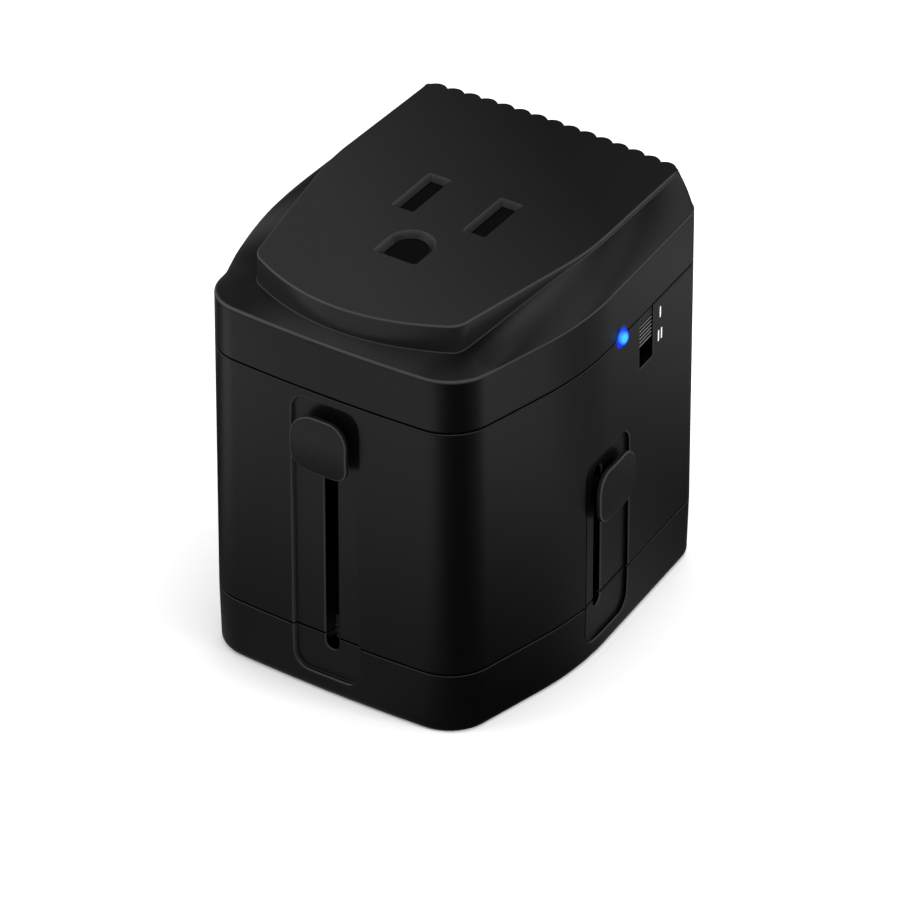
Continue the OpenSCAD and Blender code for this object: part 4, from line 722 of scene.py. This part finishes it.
def top_shell():
    """Top cover: a wall up to the rim, a small ledge, a shoulder that is flat in front and rises at the
    sides, a step, and the tilted outlet face with its lead-ins. The back of the face and the slope below
    it are reeded."""
    skin = Skin()
    low, in_z = HIGH_SEAM + SEAM_GAP / 2, RIM_Z - WALL
    in_wall, in_face = body_loop(WALL), face_loop(WALL)
    foot, near_foot, start = face_loop(0, REED_DEPTH), face_loop(-FOOT_R, REED_DEPTH), body_loop(0)
    in_foot, in_top = foot_height(in_face[:, 1]) - WALL, face_height(in_face[:, 1]) - ROOF_T
    rows, inner, wear = [], [], []

    def row(outer, back, painted=0.0):
        rows.append(outer)
        inner.append(back)
        wear.append(np.broadcast_to(painted, len(outer)))

    def behind_wall(z):
        return raised(in_wall, low + (z - low) * (in_z - low) / (RIM_Z - low))

    def behind_step(k):
        return raised(in_face, in_foot + (in_top - in_foot) * k / 16)

    for a in QUARTER:
        z = low + SEAM_R * (1 - np.cos(a))
        row(raised(body_loop(SEAM_R * (1 - np.sin(a))), z), behind_wall(z))
    for z in np.linspace(low + 0.4, RIM_Z - RIM_R - 0.2, 6):
        row(raised(start, z), behind_wall(z))
    # The rim's round stops short where the shoulder starts steeply
    rise = foot_height(foot[:, 1]) - RIM_Z
    swell = smooth((rise - 0.9) / 2.6)
    normal = loop_normals(start)
    last = np.radians(82 - 34 * swell)
    # The rim's round gets a painted highlight, strongest at its middle
    for t in np.linspace(0, 1, 6):
        rim = start - (RIM_R * (1 - np.cos(t * last)))[:, None] * normal
        z = RIM_Z - RIM_R * (np.sin(last) - np.sin(t * last))
        row(raised(rim, z), behind_wall(z), np.sin(np.pi * t))

    # The shoulder goes from the rim to the foot, with the cosine and sine of an angle raised to two over
    # the fullness: 1 is a straight slope, more is boxier. The left one is full near the front, the back
    # is straight.
    left, sides = smooth((4 - foot[:, 0]) / 8), smooth((0.8 - normal[:, 1]) / 0.6)
    along = 0.3 + 3.2 * left * (1 - smooth((foot[:, 1] + 14) / 22))
    power = 2 / (1 + along * swell * sides)
    last = np.radians(90 - 30 * swell)
    # Painted light and shade on the shoulder, with painted highlights part of the way up
    painted_at = shoulder_light(foot, swell, left, smooth((foot[:, 0] - 10) / 8) * sides)
    for t in smooth(np.linspace(0, 1, 28)[1:]):
        across = ((1 - np.cos(last * t) ** power) / (1 - np.cos(last) ** power))[:, None]
        up = (np.sin(last * t) / np.sin(last)) ** power
        back = raised(in_wall + (in_face - in_wall) * across, in_z + 0.01 + (in_foot - in_z) * up)
        row(raised(rim + (near_foot - rim) * across, RIM_Z + rise * up), back, painted_at(t))

    # The step: a small round at its foot, a wall, and a rounded edge that is crisp where it is reeded
    base, top = RIM_Z + rise + FOOT_R, face_height(foot[:, 1])
    reeded = smooth((foot[:, 1] - FACE_BACK_Y + 1.5) / 1.5)
    edge = FACE_EDGE + (REED_EDGE - FACE_EDGE) * reeded
    # Painted highlights on the round at the step's foot, on its wall and on its rounded edge, none where it
    # is reeded
    for k, a in enumerate(QUARTER[1:]):
        ring = face_loop(-FOOT_R * (1 - np.sin(a)), REED_DEPTH)
        row(raised(ring, base - FOOT_R * np.cos(a)), behind_step(k + 1), 0.25 + 0.6 * np.cos(a))
    for k, t in enumerate((0.25, 0.5, 0.75)):
        row(raised(foot, base + (top - edge - base) * t), behind_step(k + 5), STEP_WALL_LIGHT)
    for k, a in enumerate(np.linspace(0, np.pi / 2, 7)):
        plain, fine = [face_loop(r * (1 - np.cos(a)), REED_DEPTH) for r in (FACE_EDGE, REED_EDGE)]
        ring = plain + (fine - plain) * reeded[:, None]
        painted = np.maximum(np.sin(2 * a), STEP_WALL_LIGHT * np.cos(a)) * (1 - reeded)
        row(raised(ring, face_height(ring[:, 1]) - edge * (1 - np.sin(a))), behind_step(k + 8), painted)
    ring, back = face_loop(FACE_EDGE + 0.25, REED_DEPTH), face_loop(WALL + 0.3)
    row(raised(ring, face_height(ring[:, 1])), raised(back, face_height(back[:, 1]) - ROOF_T))
    numbers = skin.add(np.array(rows), np.array(inner), np.array(wear))
    skin.weave(numbers, loop=True)

    mouths, places = zip(*outlet_mouths(skin))
    flat = ring - [0, OUTLET_Y]
    flat[:, 1] /= np.cos(FACE_TILT)
    skin.fill([numbers[-1], *mouths], [flat, *places])
    skin.thicken()
    contact_wells(skin)
    posts(skin, BOSS_LOW_Z, BOSS_TOP_Z, BOSS_BORE)
    return skin.piece("top_shell", "housing", "shell", ["top_cover"])


def slider_knob(face, x, z, size, proud, corners, top_light, slot_x, stem_z, name, body, node):
    """Cap knob: a rounded square with a slightly domed face, a crisp edge and a thin side that is
    undercut to a narrow foot. A stem with round ends goes through the slot to an arm behind the wall, and
    on to the carriage."""
    skin = Skin()

    def rim(d):
        return round_rect(size[0] / 2 - d, size[1] / 2 - d, np.maximum(np.array(corners) - d, 0.3), 10, 10)

    def dome(flat):
        return -proud + flat[:, 0] ** 2 / (2 * KNOB_DOME_W) + flat[:, 1] ** 2 / (2 * KNOB_DOME_H)

    edge = dome(rim(CAP_EDGE)) + CAP_EDGE
    under = edge + CAP_SIDE
    rings = [(rim(CAP_INSET + 0.4), CAP_BACK + 0 * edge, 0)]
    for t in (0, 0.2, 0.4, 0.7, 0.96):
        rings.append((rim(CAP_INSET * (1 - t)), CAP_BACK + (under - CAP_BACK) * t ** 0.8, 0))
    # Painted light on the cap's thin side
    rings += [(rim(0), under - 0.06, 0.15), (rim(0), under - 0.5 * CAP_SIDE, 0.15)]
    # Painted highlight on the crisp edge
    for a in np.radians([90, 68, 45, 22, 5]):
        painted = max(np.sin(2 * a), 0.15)
        rings.append((rim(CAP_EDGE * (1 - np.sin(a))), edge - CAP_EDGE * np.cos(a), painted))
    last = rim(CAP_EDGE)
    # The domed face is painted lighter towards its top
    for k in (0.975, 0.92, 0.83, 0.7, 0.55, 0.4, 0.25, 0.1):
        rings.append((last * k, dome(last * k), top_light * smooth(0.5 + last[:, 1] * k / size[1])))
    points = np.array([face.ring(flat, depth, x, z) for flat, depth, _ in rings])
    skin.loft(points, wear=np.array([np.broadcast_to(painted, len(last)) for _, _, painted in rings]))
    stem = round_rect(STEM_W / 2, STEM_H / 2, STEM_W / 2 - 0.01, 6, 3)
    arm = round_rect(abs(slot_x) / 2 + STEM_W / 2, STEM_H / 2, 0.2)
    for flat, mid_x, depths in ((stem, slot_x, (3.6, CAP_BACK - 0.1)), (arm, slot_x / 2, (4.5, 3.5)),
                                (stem, 0.0, (6.0, 4.4))):
        skin.loft(np.array([face.ring(flat, depth, mid_x, stem_z) for depth in depths]))
    return skin.piece(name, body, "knob", [node])


def switch_slider():
    """Mode switch knob: a block with narrow ridges, the cube of a sine along its height, below a plain
    end. The ridges' tops carry painted highlights and the grooves painted shade."""
    skin = Skin()
    face, half = right_face(SWITCH_Y), SWITCH_HALF_W
    t = np.linspace(0, 1, 145)
    wave = np.abs(np.sin(np.pi * RIBS * np.clip(t / RIBBED, 0, 1))) ** 3
    ridge = np.where(t < RIBBED, wave, smooth((t - RIBBED) / 0.02))
    low, high = SWITCH_Z - SWITCH_H / 2, SWITCH_Z + SWITCH_H / 2
    front = np.stack([0.6 - 0.5 * ridge, SWITCH_Z + SWITCH_H * (t - 0.5)], 1)
    profile = np.concatenate([front, [[SWITCH_BACK, high], [SWITCH_BACK, low]]])
    ends = ((half, 0.12), (half - 0.05, 0.04), (half - 0.12, 0))
    rings = [(-x, sink) for x, sink in ends] + list(ends[::-1])
    depths = [np.minimum(profile[:, 0] + sink, SWITCH_BACK) for _, sink in rings]
    points = np.array([face.place(x, depth, profile[:, 1]) for (x, _), depth in zip(rings, depths)])
    # Painted highlights on the ridge tops, painted shade in the grooves
    painted = np.concatenate([np.where(t < RIBBED, ridge ** 5 - (1 - ridge) ** 2, 0.1), [0, 0]])
    numbers = skin.add(points, wear=np.broadcast_to(painted, points.shape[:2]))
    skin.weave(numbers, loop=True)
    skin.fill([numbers[0]], [profile], flip=True)
    skin.fill([numbers[-1]], [profile])
    stem = round_rect(1.2, 1.3, 0.1)
    skin.loft(np.array([face.ring(stem, depth, 0.0, SWITCH_Z) for depth in (6.6, 2.5)]))
    made = skin.piece("switch_slider", "mode_switch", "knob", ["switch_knob"], 50)
    made.data.materials[0] = satin_plastic("switch_satin", 0.0006, 0.5, 0.000003, 0.05, painted=0.2)
    return made


def lamp_lens():
    """Lamp: a round body with a rounded edge and a domed end, turned about its axis in the wall."""
    skin = Skin()
    face = right_face(LAMP_Y)
    profile = [(2.0, 5.2), (2.0, 3.5), (LAMP_R, 3.5), (LAMP_R, 0.0)]
    for a in np.radians([30, 60, 90]):
        profile.append((LAMP_R - LAMP_EDGE * (1 - np.cos(a)), -LAMP_EDGE * np.sin(a)))
    for a in np.radians([12, 26, 40, 54, 68, 80]):
        profile.append(((LAMP_R - LAMP_EDGE) * np.cos(a), -LAMP_EDGE - LAMP_DOME * np.sin(a)))
    skin.loft(np.array([face.ring(circle(r), depth, 0.0, HIGH_SEAM) for r, depth in profile]))
    return skin.piece("lamp_lens", "housing", "lamp_lens", ["lamp"])


def switch_marks():
    """Plain position marks beside the switch: one short bar above, two below, as a thin print."""
    skin = Skin()
    face = right_face(SWITCH_Y)
    x, depth = face.local(DENSE)
    near = (np.abs(x) < 8) & (depth < 6)
    for mark in MARKS:
        bar = round_rect(MARK_HALF_W, MARK_HALF_H, MARK_R, 3, 1) + mark
        wall = np.interp(bar[:, 0], x[near], depth[near])
        skin.loft(np.array([face.ring(bar, wall + sink) for sink in (0.1, -0.012)]))
    return skin.piece("switch_marks", "housing", "film")


def outlet_shutters():
    """Dark shutters just below the outlet's mouths: thin plates in the two blade slots and the ground
    hole."""
    skin = Skin()
    plates = [round_rect(1.06, 3.86, 0.14) + [x, 0] for x in (-BLADE_PITCH / 2, BLADE_PITCH / 2)]
    for flat in plates + [d_shape(2.71, 0.33) - [0, GROUND_OFFSET]]:
        skin.loft(np.array([on_outlet(flat, depth) for depth in (1.2, 0.85)]))
    made = skin.piece("outlet_shutters", "housing", "carriage")
    made.data.materials[0] = dull("shutter_matt", grey(0.0012), grey(0.0018), 0.8, 400.0, specular=0.08)
    return made


def plug_pin(flat_at, profile, name, body, nodes, places):
    """Plug pins, one at each place: rings of the outline flat_at, moved in and raised as the profile
    says. A place is a flat point and a turn in degrees."""
    skin = Skin()
    for place, degrees in places:
        skin.loft(np.array([raised(flat_at(d) @ turned(degrees) + place, z) for d, z in profile]))
    return skin.piece(name, body, "plated_pin", nodes)


def rounded_tip(z, inset, root_z, degrees=(0, 18, 36, 54, 72, 90)):
    """Profile of a pin from its tip at z: a quarter round as deep as it is high, a plain side, and its
    root."""
    steps = [(inset * (1 - np.sin(a)), z + inset * (1 - np.cos(a))) for a in np.radians(degrees)]
    return steps + [(0.0, root_z)]


def rectangle_pin(half):
    """Outline of a rectangular pin, moved in by d; its corners sharpen half as fast."""
    return lambda d: round_rect(half[0] - d, half[1] - d, max(0.6 - 0.5 * d, 0.15))


def plug_pins():
    """Pins of the three plugs: round pins with hemispherical ends, slanted blades and rectangular pins with
    rounded ends, and the sleeves that cover the roots of the rectangular ones."""
    plug_pin(lambda d: circle(EU_PIN_R - d, 48),
             rounded_tip(TIP_Z, EU_PIN_R, EU_PLINTH_Z + 10.0, (4, 15, 30, 45, 60, 75, 90)),
             "round_pins", "front_plug", ["eu_pin_1", "eu_pin_2"], [((x, EU_Y), 0) for x in (EU_X, -EU_X)])
    plug_pin(lambda d: round_rect(AU_BLADE[0] - d, AU_BLADE[1] - d, max(0.5 - d, 0.1)),
             rounded_tip(TIP_Z, 0.45, AU_PLATE_Z + 2.0), "slanted_blades", "right_plug",
             ["au_blade_1", "au_blade_2"], [((AU_X, AU_Y), AU_TURN), ((-AU_X, AU_Y), -AU_TURN)])
    low, high = UK_PLATE_Z - UK_SLEEVE, UK_PLATE_Z - 0.05
    live, earth = rectangle_pin(UK_PIN), rectangle_pin(EARTH_PIN)
    profile = rounded_tip(UK_TIP_Z, 0.9, low - 0.05) + [(0.4, low - 0.05), (0.4, UK_PLATE_Z + 2.0)]
    plug_pin(live, profile, "live_pins", "left_plug", ["uk_pin_1", "uk_pin_2"],
             [((x, UK_Y), 0) for x in (UK_X, -UK_X)])
    plug_pin(earth, rounded_tip(TIP_Z, 0.9, UK_PLATE_Z + 2.0), "earth_pin", "left_plug", ["uk_earth_pin"],
             [((0, EARTH_Y), 0)])
    skin = Skin()
    for x in (UK_X, -UK_X):
        sides = ((0.35, low), (0.1, low), (0.03, low + 0.03), (0.0, low + 0.1), (0.0, high), (0.35, high))
        skin.tube(np.stack([raised(live(d) + [x, UK_Y], z) for d, z in sides]))
    skin.piece("pin_sleeves", "left_plug", "sleeve", ["uk_sleeve_1", "uk_sleeve_2"])


def feed(tree, place, value):
    """Links a shader value to a socket, or sets a plain value on it."""
    if isinstance(value, Ink):
        tree.links.new(value.socket, place)
    else:
        place.default_value = value


class Ink:
    """A shader value: arithmetic on it adds Math nodes."""

    def __init__(self, tree, socket):
        self.tree, self.socket = tree, socket

    def math(self, operation, *values):
        made = self.tree.nodes.new("ShaderNodeMath")
        made.operation = operation
        for place, value in zip(made.inputs, values):
            feed(self.tree, place, value)
        return Ink(self.tree, made.outputs[0])

    def __add__(self, other):
        return self.math("ADD", self, other)

    __radd__ = __add__

    def __sub__(self, other):
        return self.math("SUBTRACT", self, other)

    def __rsub__(self, other):
        return self.math("SUBTRACT", other, self)

    def __mul__(self, other):
        return self.math("MULTIPLY", self, other)

    __rmul__ = __mul__

    def __pow__(self, other):
        return self.math("POWER", self, other)

    def clip(self, low, high):
        return self.math("MINIMUM", self.math("MAXIMUM", self, low), high)


class Finish:
    """A material under construction: its nodes and its surface shader."""

    def __init__(self, name):
        self.material = bpy.data.materials.new(name)
        self.material.use_nodes = True
        self.tree = self.material.node_tree
        self.shader = self.tree.nodes["Principled BSDF"]
        self.place = self.node("ShaderNodeTexCoord", out="Object")

    def node(self, kind, settings=None, out=0, numbered=None, **sockets):
        """Adds a node: its settings first, then values or links for its sockets, by number or by name."""
        made = self.tree.nodes.new(kind)
        for key, value in (settings or {}).items():
            setattr(made, key, value)
        for number, value in (numbered or {}).items():
            feed(self.tree, made.inputs[number], value)
        for key, value in sockets.items():
            feed(self.tree, made.inputs[key.replace("_", " ")], value)
        return Ink(self.tree, made.outputs[out])

    def vector(self, operation, out, *values):
        """A vector sum on shader values or plain vectors."""
        return self.node("ShaderNodeVectorMath", {"operation": operation}, out, dict(enumerate(values)))

    def noise(self, scale, detail, stretch=None):
        where = self.place
        if stretch is not None:
            where = self.node("ShaderNodeMapping", Vector=where, Scale=stretch)
        return self.node("ShaderNodeTexNoise", Vector=where, Scale=scale, Detail=detail)

    def xyz(self):
        """The three object coordinates of a point."""
        split = self.node("ShaderNodeSeparateXYZ", Vector=self.place)
        return [Ink(self.tree, part) for part in split.socket.node.outputs]

    def mix(self, a, b, factor):
        """Colour a where the factor is 0, b where it is 1."""
        return self.node("ShaderNodeMix", {"data_type": "RGBA"}, 2, {0: factor, 6: a, 7: b})

    def bump(self, height, distance):
        return self.node("ShaderNodeBump", Height=height, Distance=distance, Strength=1.0)

    def surface(self, **sockets):
        """Sets the surface shader's sockets and returns the material."""
        for key, value in sockets.items():
            feed(self.tree, self.shader.inputs[key.replace("_", " ")], value)
        return self.material


def grey(v, blue=1.0):
    return (v, v, v * blue, 1.0)


def lamp_distance(f, along, depth, rise):
    """Distance of a point from a spot in the lamp, in millimetres: along the wall from its axis, at a
    depth below the wall, and at a rise above its axis."""
    spot = right_face(LAMP_Y).place(along, depth, HIGH_SEAM + rise) * MM
    return f.vector("DISTANCE", "Value", f.place, spot) * (1 / MM)


def satin_plastic(name, tone, rough, grain, specular, painted=0.03, shell=False):
    """Moulded plastic: fine spark-eroded grain as bump, a slow drift of gloss, sparse fine rubs, and
    painted highlights that lighten the edges. Where the painted light is below 0 it is painted shade: as a
    near-black metal the plastic throws almost no light back. The shell's outlet plate has a painted sheen,
    lighter to the front left, and the lamp throws a blue halo on it."""
    f = Finish(name)
    drift = f.noise(60.0, 3.0)
    fine = f.noise(9000.0, 1.0)
    rubs = f.noise(700.0, 4.0, (1.0, 1.0, 0.06))
    rub = ((rubs - 0.62) * 6.0).clip(0.0, 1.0)
    wear = f.node("ShaderNodeAttribute", {"attribute_name": "wear"}, out="Fac")
    colour = f.mix(grey(tone, 1.04), grey(tone * 1.5, 1.04), drift)
    if shell:
        # Painted sheen: the outlet plate is lighter to the front left
        x, y, z = f.xyz()
        above = z - y * np.tan(FACE_TILT) - (FACE_Z - 0.4) * MM
        plate_sheen = (0.5 - (x + 1.3 * y) * (1 / PLATE_SPAN)).clip(0.0, 1.0) * (above * 4000.0).clip(0.0, 1.0)
        colour = f.mix(colour, grey(PLATE_SHEEN_TONE), plate_sheen)
        near = (1.0 - (lamp_distance(f, 0.0, 0.0, 0.0) - LAMP_R) * 1.5).clip(0.0, 1.0)
        halo = f.mix(grey(0.0), (0.0, 0.02, 0.35, 1.0), near ** 2.0)
        f.surface(Emission_Color=halo, Emission_Strength=1.0)
    # Painted highlights: lighter colour where the painted light is above 0
    colour = f.mix(colour, grey(painted), wear * (0.7 + drift * 0.5))
    height = fine * 0.7 + rub * 0.3
    # Painted shade: near-black metal where the painted light is below 0
    painted_dark = (0.0 - wear).clip(0.0, 1.0)
    return f.surface(Base_Color=colour, Roughness=rough + drift * 0.06 + fine * 0.05 - rub * 0.03 - 0.05,
                     Metallic=painted_dark, Specular_IOR_Level=specular, Normal=f.bump(height, grain))


def metal(name, colour, rough, left_highlight):
    """Worked metal: a stretched noise for its lines, in gloss, tone and height."""
    f = Finish(name)
    lines = f.noise(900.0, 3.0, left_highlight)
    stain = f.noise(120.0, 4.0)
    dark = tuple(c * 0.78 for c in colour[:3]) + (1.0,)
    return f.surface(Base_Color=f.mix(colour, dark, stain * 0.8 + lines * 0.2), Metallic=1.0,
                     Roughness=rough + lines * 0.12 + stain * 0.06 - 0.06, Normal=f.bump(lines, 0.000004))


def dull(name, colour, other, rough, scale, specular=0.5):
    """Paint, resin or sheet: a mottled tone with a slight grain."""
    f = Finish(name)
    mottle, fine = f.noise(scale, 4.0), f.noise(5000.0, 1.0)
    return f.surface(Base_Color=f.mix(colour, other, mottle), Roughness=rough + mottle * 0.1 - 0.05,
                     Specular_IOR_Level=specular, Normal=f.bump(fine, 0.00001))


def lamp_glow():
    """Lamp lens: a near-white cyan heart, up and to the front of its axis, that falls off to deep blue."""
    f = Finish("lamp_lens_glow")
    fall = (lamp_distance(f, -0.5, -0.75 * LAMP_DOME, 0.3) * (1 / LAMP_R)).clip(0.0, 1.0)
    colour = f.mix((0.05, 0.62, 1.0, 1.0), (0.0, 0.02, 0.75, 1.0), (fall * 2.4 - 0.75).clip(0.0, 1.0))
    return f.surface(Base_Color=(0.0, 0.02, 0.1, 1.0), Roughness=0.25 + fall * 0.1, Emission_Color=colour,
                     Emission_Strength=1.0)


# Tone of the painted sheen on the outlet plate, lighter to the front left, and the span over which it fades,
# in metres
PLATE_SHEEN_TONE, PLATE_SPAN = 0.0125, 0.06
FINISH = {
    "shell": satin_plastic("shell_satin", 0.0009, 0.3, 0.000003, 0.4, shell=True),
    "knob": satin_plastic("knob_satin", 0.0016, 0.3, 0.000003, 0.24, painted=0.04),
    "carriage": satin_plastic("carriage_matt", 0.0014, 0.7, 0.000004, 0.12),
    "sleeve": satin_plastic("sleeve_matt", 0.003, 0.5, 0.000004, 0.4),
    "plated_pin": metal("pin_nickel", (0.72, 0.71, 0.69, 1.0), 0.22, (1.0, 1.0, 0.05)),
    "contact_brass": metal("contact_brass", (0.72, 0.5, 0.2, 1.0), 0.3, (1.0, 1.0, 0.1)),
    "insulator": dull("insulator_resin", (0.68, 0.62, 0.5, 1.0), (0.6, 0.53, 0.41, 1.0), 0.5, 300.0),
    "board": dull("board_black_mask", (0.003, 0.006, 0.004, 1.0), (0.002, 0.004, 0.003, 1.0), 0.4, 700.0),
    "sink": metal("sink_alloy", (0.62, 0.63, 0.65, 1.0), 0.35, (1.0, 1.0, 0.04)),
    "screw_steel": metal("screw_zinc", (0.5, 0.5, 0.52, 1.0), 0.3, (1.0, 1.0, 1.0)),
    "tinned_steel": metal("tinned_leads", (0.66, 0.66, 0.66, 1.0), 0.3, (1.0, 1.0, 0.1)),
    "epoxy": dull("epoxy_black", (0.012, 0.012, 0.013, 1.0), (0.02, 0.02, 0.021, 1.0), 0.5, 400.0),
    "film": dull("film_print", (0.72, 0.72, 0.7, 1.0), (0.6, 0.6, 0.58, 1.0), 0.55, 900.0),
    "fuse_glass": dull("fuse_glass", (0.5, 0.56, 0.56, 1.0), (0.44, 0.5, 0.5, 1.0), 0.12, 200.0),
    "lamp_lens": lamp_glow(),
}

top_shell()
mid_shell()
base_shell()
slider_knob(FRONT_FACE, -0.1, 43.1, (10.0, 9.2), 2.35, (3.5, 4.0, 3.2, 2.3), 0.25,
            FRONT_SLOT_X + FRONT_RECESS_X, FRONT_STEM_Z, "front_pebble", "front_plug", "front_knob")
slider_knob(right_face(SIDE_SLIDER_Y), SIDE_CAP_X, 27.4, SIDE_CAP, SIDE_CAP_PROUD, (3.5, 3.5, 3.6, 3.5),
            SIDE_CAP_TOP_LIGHT, -SIDE_SLOT_X, RIGHT_STEM_Z, "right_pebble", "right_plug", "right_knob")
slider_knob(left_face(SIDE_SLIDER_Y), -SIDE_CAP_X, 30.4, SIDE_CAP, SIDE_CAP_PROUD, (3.5, 3.5, 3.5, 3.6),
            SIDE_CAP_TOP_LIGHT, SIDE_SLOT_X, LEFT_STEM_Z, "left_pebble", "left_plug", "left_knob")
switch_slider()
lamp_lens()
switch_marks()
outlet_shutters()
plug_pins()

# CAD nodes that stay, under the slot whose finish they get
NODES_OF = {"screw_steel": ("case_screw", "retainer_screw", "triac_screw"), "board": ("circuit_board",),
            "contact_brass": ("line_contact", "neutral_contact", "ground_contact", "fuse_clip", "bus_bar"),
            "insulator": ("contact_retainer", "thermal_cutout"), "sink": ("heat_sink",),
            "epoxy": ("triac", "choke"), "film": ("film_capacitor",), "fuse_glass": ("fuse_tube",),
            "tinned_steel": ("fuse_cap", "switch_body", "lamp_lead"),
            "carriage": ("eu_carriage", "au_carriage", "uk_carriage")}
SLOT_OF = {stem: slot for slot, stems in NODES_OF.items() for stem in stems}
for name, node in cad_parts.items():
    stem = max((k for k in SLOT_OF if name.startswith(k)), key=len, default=None)
    if stem and not node.hide_render:
        node.data.materials.clear()
        node.data.materials.append(FINISH[SLOT_OF[stem]])

# Light tent: radius in millimetres; patches are a direction, a sharpness and a strength
TENT_R = 200.0
DOME_BASE = 0.085
DOME_PATCHES = (((-0.6, -0.55, 0.58), 9.0, 1.0), ((0.65, 0.74, 0.15), 6.0, 0.28),
                ((0.28, -0.40, 0.87), 9.0, 0.6), ((0.15, 0.45, 0.88), 25.0, 0.55),
                ((-0.9, 0.05, 0.45), 5.0, 0.08), ((-0.97, 0.2, 0.06), 14.0, 0.2))
# Floor card: its even glow, and the radii in metres where its patches start, are brightest and end
FLOOR_NEAR, FLOOR_DARK_R, FLOOR_LIGHT_R, FLOOR_END_R = 0.008, 0.05, 0.13, 0.168
# Patches on the floor card: heading in degrees from +X towards +Y, and strength; they share one sharpness
FLOOR_PATCHES = ((206, 0.1), (217, 0.7), (228, 0.28), (239, 0.17), (250, 0.35), (261, 0.26), (272, 0.46),
                 (283, 0.14), (349, 0.13), (11, 0.74), (22, 0.2), (55, 0.05), (66, 0.32), (77, 0.1),
                 (110, 0.4), (138, 0.35), (165, 0.4))
FLOOR_SHARP = 45.0
NEAR_PATCHES = (((-0.36, -0.93, 0.0), 6.0, 0.17), ((0.9, 0.43, 0.0), 5.0, 0.15),
                ((0.22, -0.975, 0.0), 20.0, 0.1))
FLOOR_DEPTH, CARD_DEPTH = -0.05, -0.5


def patches(f, glow, places):
    """An even glow with soft patches of light added: each is its strength times e to the power of its
    sharpness times the cosine from its middle less one."""
    heading = f.vector("NORMALIZE", 0, f.place)
    for toward, sharpness, strength in places:
        fall = (f.vector("DOT_PRODUCT", "Value", heading, unit(np.array(toward, float))) - 1.0) * sharpness
        glow = fall.math("EXPONENT", fall) * strength + glow
    return glow


def sheet(name, rings, finish):
    """Sheet of the stage through rings from its rim inwards, closed in the middle."""
    skin = Skin()
    numbers = skin.add(rings)
    skin.weave(numbers, loop=True)
    skin.fan(numbers[-1], rings[-1].mean(0))
    made = skin.bare(name, finish)
    return made


def card(name, rings, f, glow):
    """Sheet of a light tent that only glossy surfaces see."""
    finish = f.surface(Base_Color=grey(0.0), Specular_IOR_Level=0.0, Emission_Color=glow,
                       Emission_Strength=1.0)
    made = sheet(name, rings, finish)
    made.visible_camera = made.visible_diffuse = made.visible_shadow = made.visible_transmission = False


def light_tent():
    """Dome and floor card of a small light tent round the object, each with soft patches of light."""
    f = Finish("tent_dome_glow")
    rise = np.radians(np.linspace(0, 88, 24))
    dome = np.stack([raised(circle(TENT_R * np.cos(a), 72), TENT_R * np.sin(a)) for a in rise])
    card("tent_dome", dome, f, patches(f, DOME_BASE, DOME_PATCHES))
    f = Finish("tent_floor_glow")
    away = f.vector("LENGTH", "Value", f.place)
    headings = [(np.radians(degrees), strength) for degrees, strength in FLOOR_PATCHES]
    far = patches(f, 0.0, [((np.cos(a), np.sin(a), 0.0), FLOOR_SHARP, strength) for a, strength in headings])
    near = patches(f, FLOOR_NEAR, NEAR_PATCHES)
    ramp = ((away - FLOOR_DARK_R) * (1 / (FLOOR_LIGHT_R - FLOOR_DARK_R))).clip(0.0, 1.0)
    fade = ((FLOOR_END_R - away) * (1 / (FLOOR_END_R - FLOOR_LIGHT_R))).clip(0.0, 1.0)
    floor = np.stack([raised(circle(r, 72), CARD_DEPTH) for r in (TENT_R, 0.5 * TENT_R, 0.2 * TENT_R)])
    card("tent_floor", floor, f, ramp ** 1.3 * (far * fade) + near)


def studio_floor():
    """Pale floor: a wide round sheet of even tone."""
    rings = np.stack([raised(circle(r, 96), FLOOR_DEPTH) for r in (2500.0, 400.0, 120.0)])
    finish = Finish("floor_white").surface(Base_Color=grey(0.86), Roughness=0.9, Specular_IOR_Level=0.1)
    sheet("studio_floor", rings, finish).visible_glossy = False


def aimed(name, data, place, target):
    """Light or camera at a place, turned to look at a target, in metres."""
    made = bpy.data.objects.new(name, data)
    made.location = Vector(place)
    made.rotation_mode = "QUATERNION"
    made.rotation_quaternion = (Vector(target) - Vector(place)).to_track_quat("-Z", "Y")
    bpy.context.scene.collection.objects.link(made)
    return made


def soft_light(name, place, target, size, watts):
    """Rectangular softbox that looks at a point."""
    data = bpy.data.lights.new(name, "AREA")
    data.shape, data.size, data.size_y, data.energy = "RECTANGLE", size[0], size[1], watts
    aimed(name, data, place, target).visible_glossy = False


studio_floor()
light_tent()
soft_light("key_left", (-0.75, -0.55, 0.75), (0, 0, 0.03), (0.7, 0.7), 6.0)
soft_light("top_sheet", (0.1, 0.2, 1.0), (0, 0, 0.03), (0.9, 0.9), 6.0)
soft_light("right_strip", (0.85, 0.05, 0.45), (0, 0, 0.04), (0.3, 0.7), 6.0)
world = bpy.data.worlds.new("studio")
bpy.context.scene.world = world
world.use_nodes = True
world.node_tree.nodes["Background"].inputs[0].default_value = (1.0, 1.0, 1.0, 1.0)
world.node_tree.nodes["Background"].inputs[1].default_value = 0.8

# The camera stands and looks as in the photograph, through a long lens
CAMERA_AT, CAMERA_AIM = (0.5842, -0.82345, 0.6422), (-0.0052, 0.00515, 0.0211)
camera = aimed("camera", bpy.data.cameras.new("camera"), CAMERA_AT, CAMERA_AIM)
camera.data.sensor_width, camera.data.lens = 36.0, 320.6
camera.data.clip_start, camera.data.clip_end = 0.05, 20.0
bpy.context.scene.camera = camera
bpy.context.scene.view_settings.view_transform = "Standard"
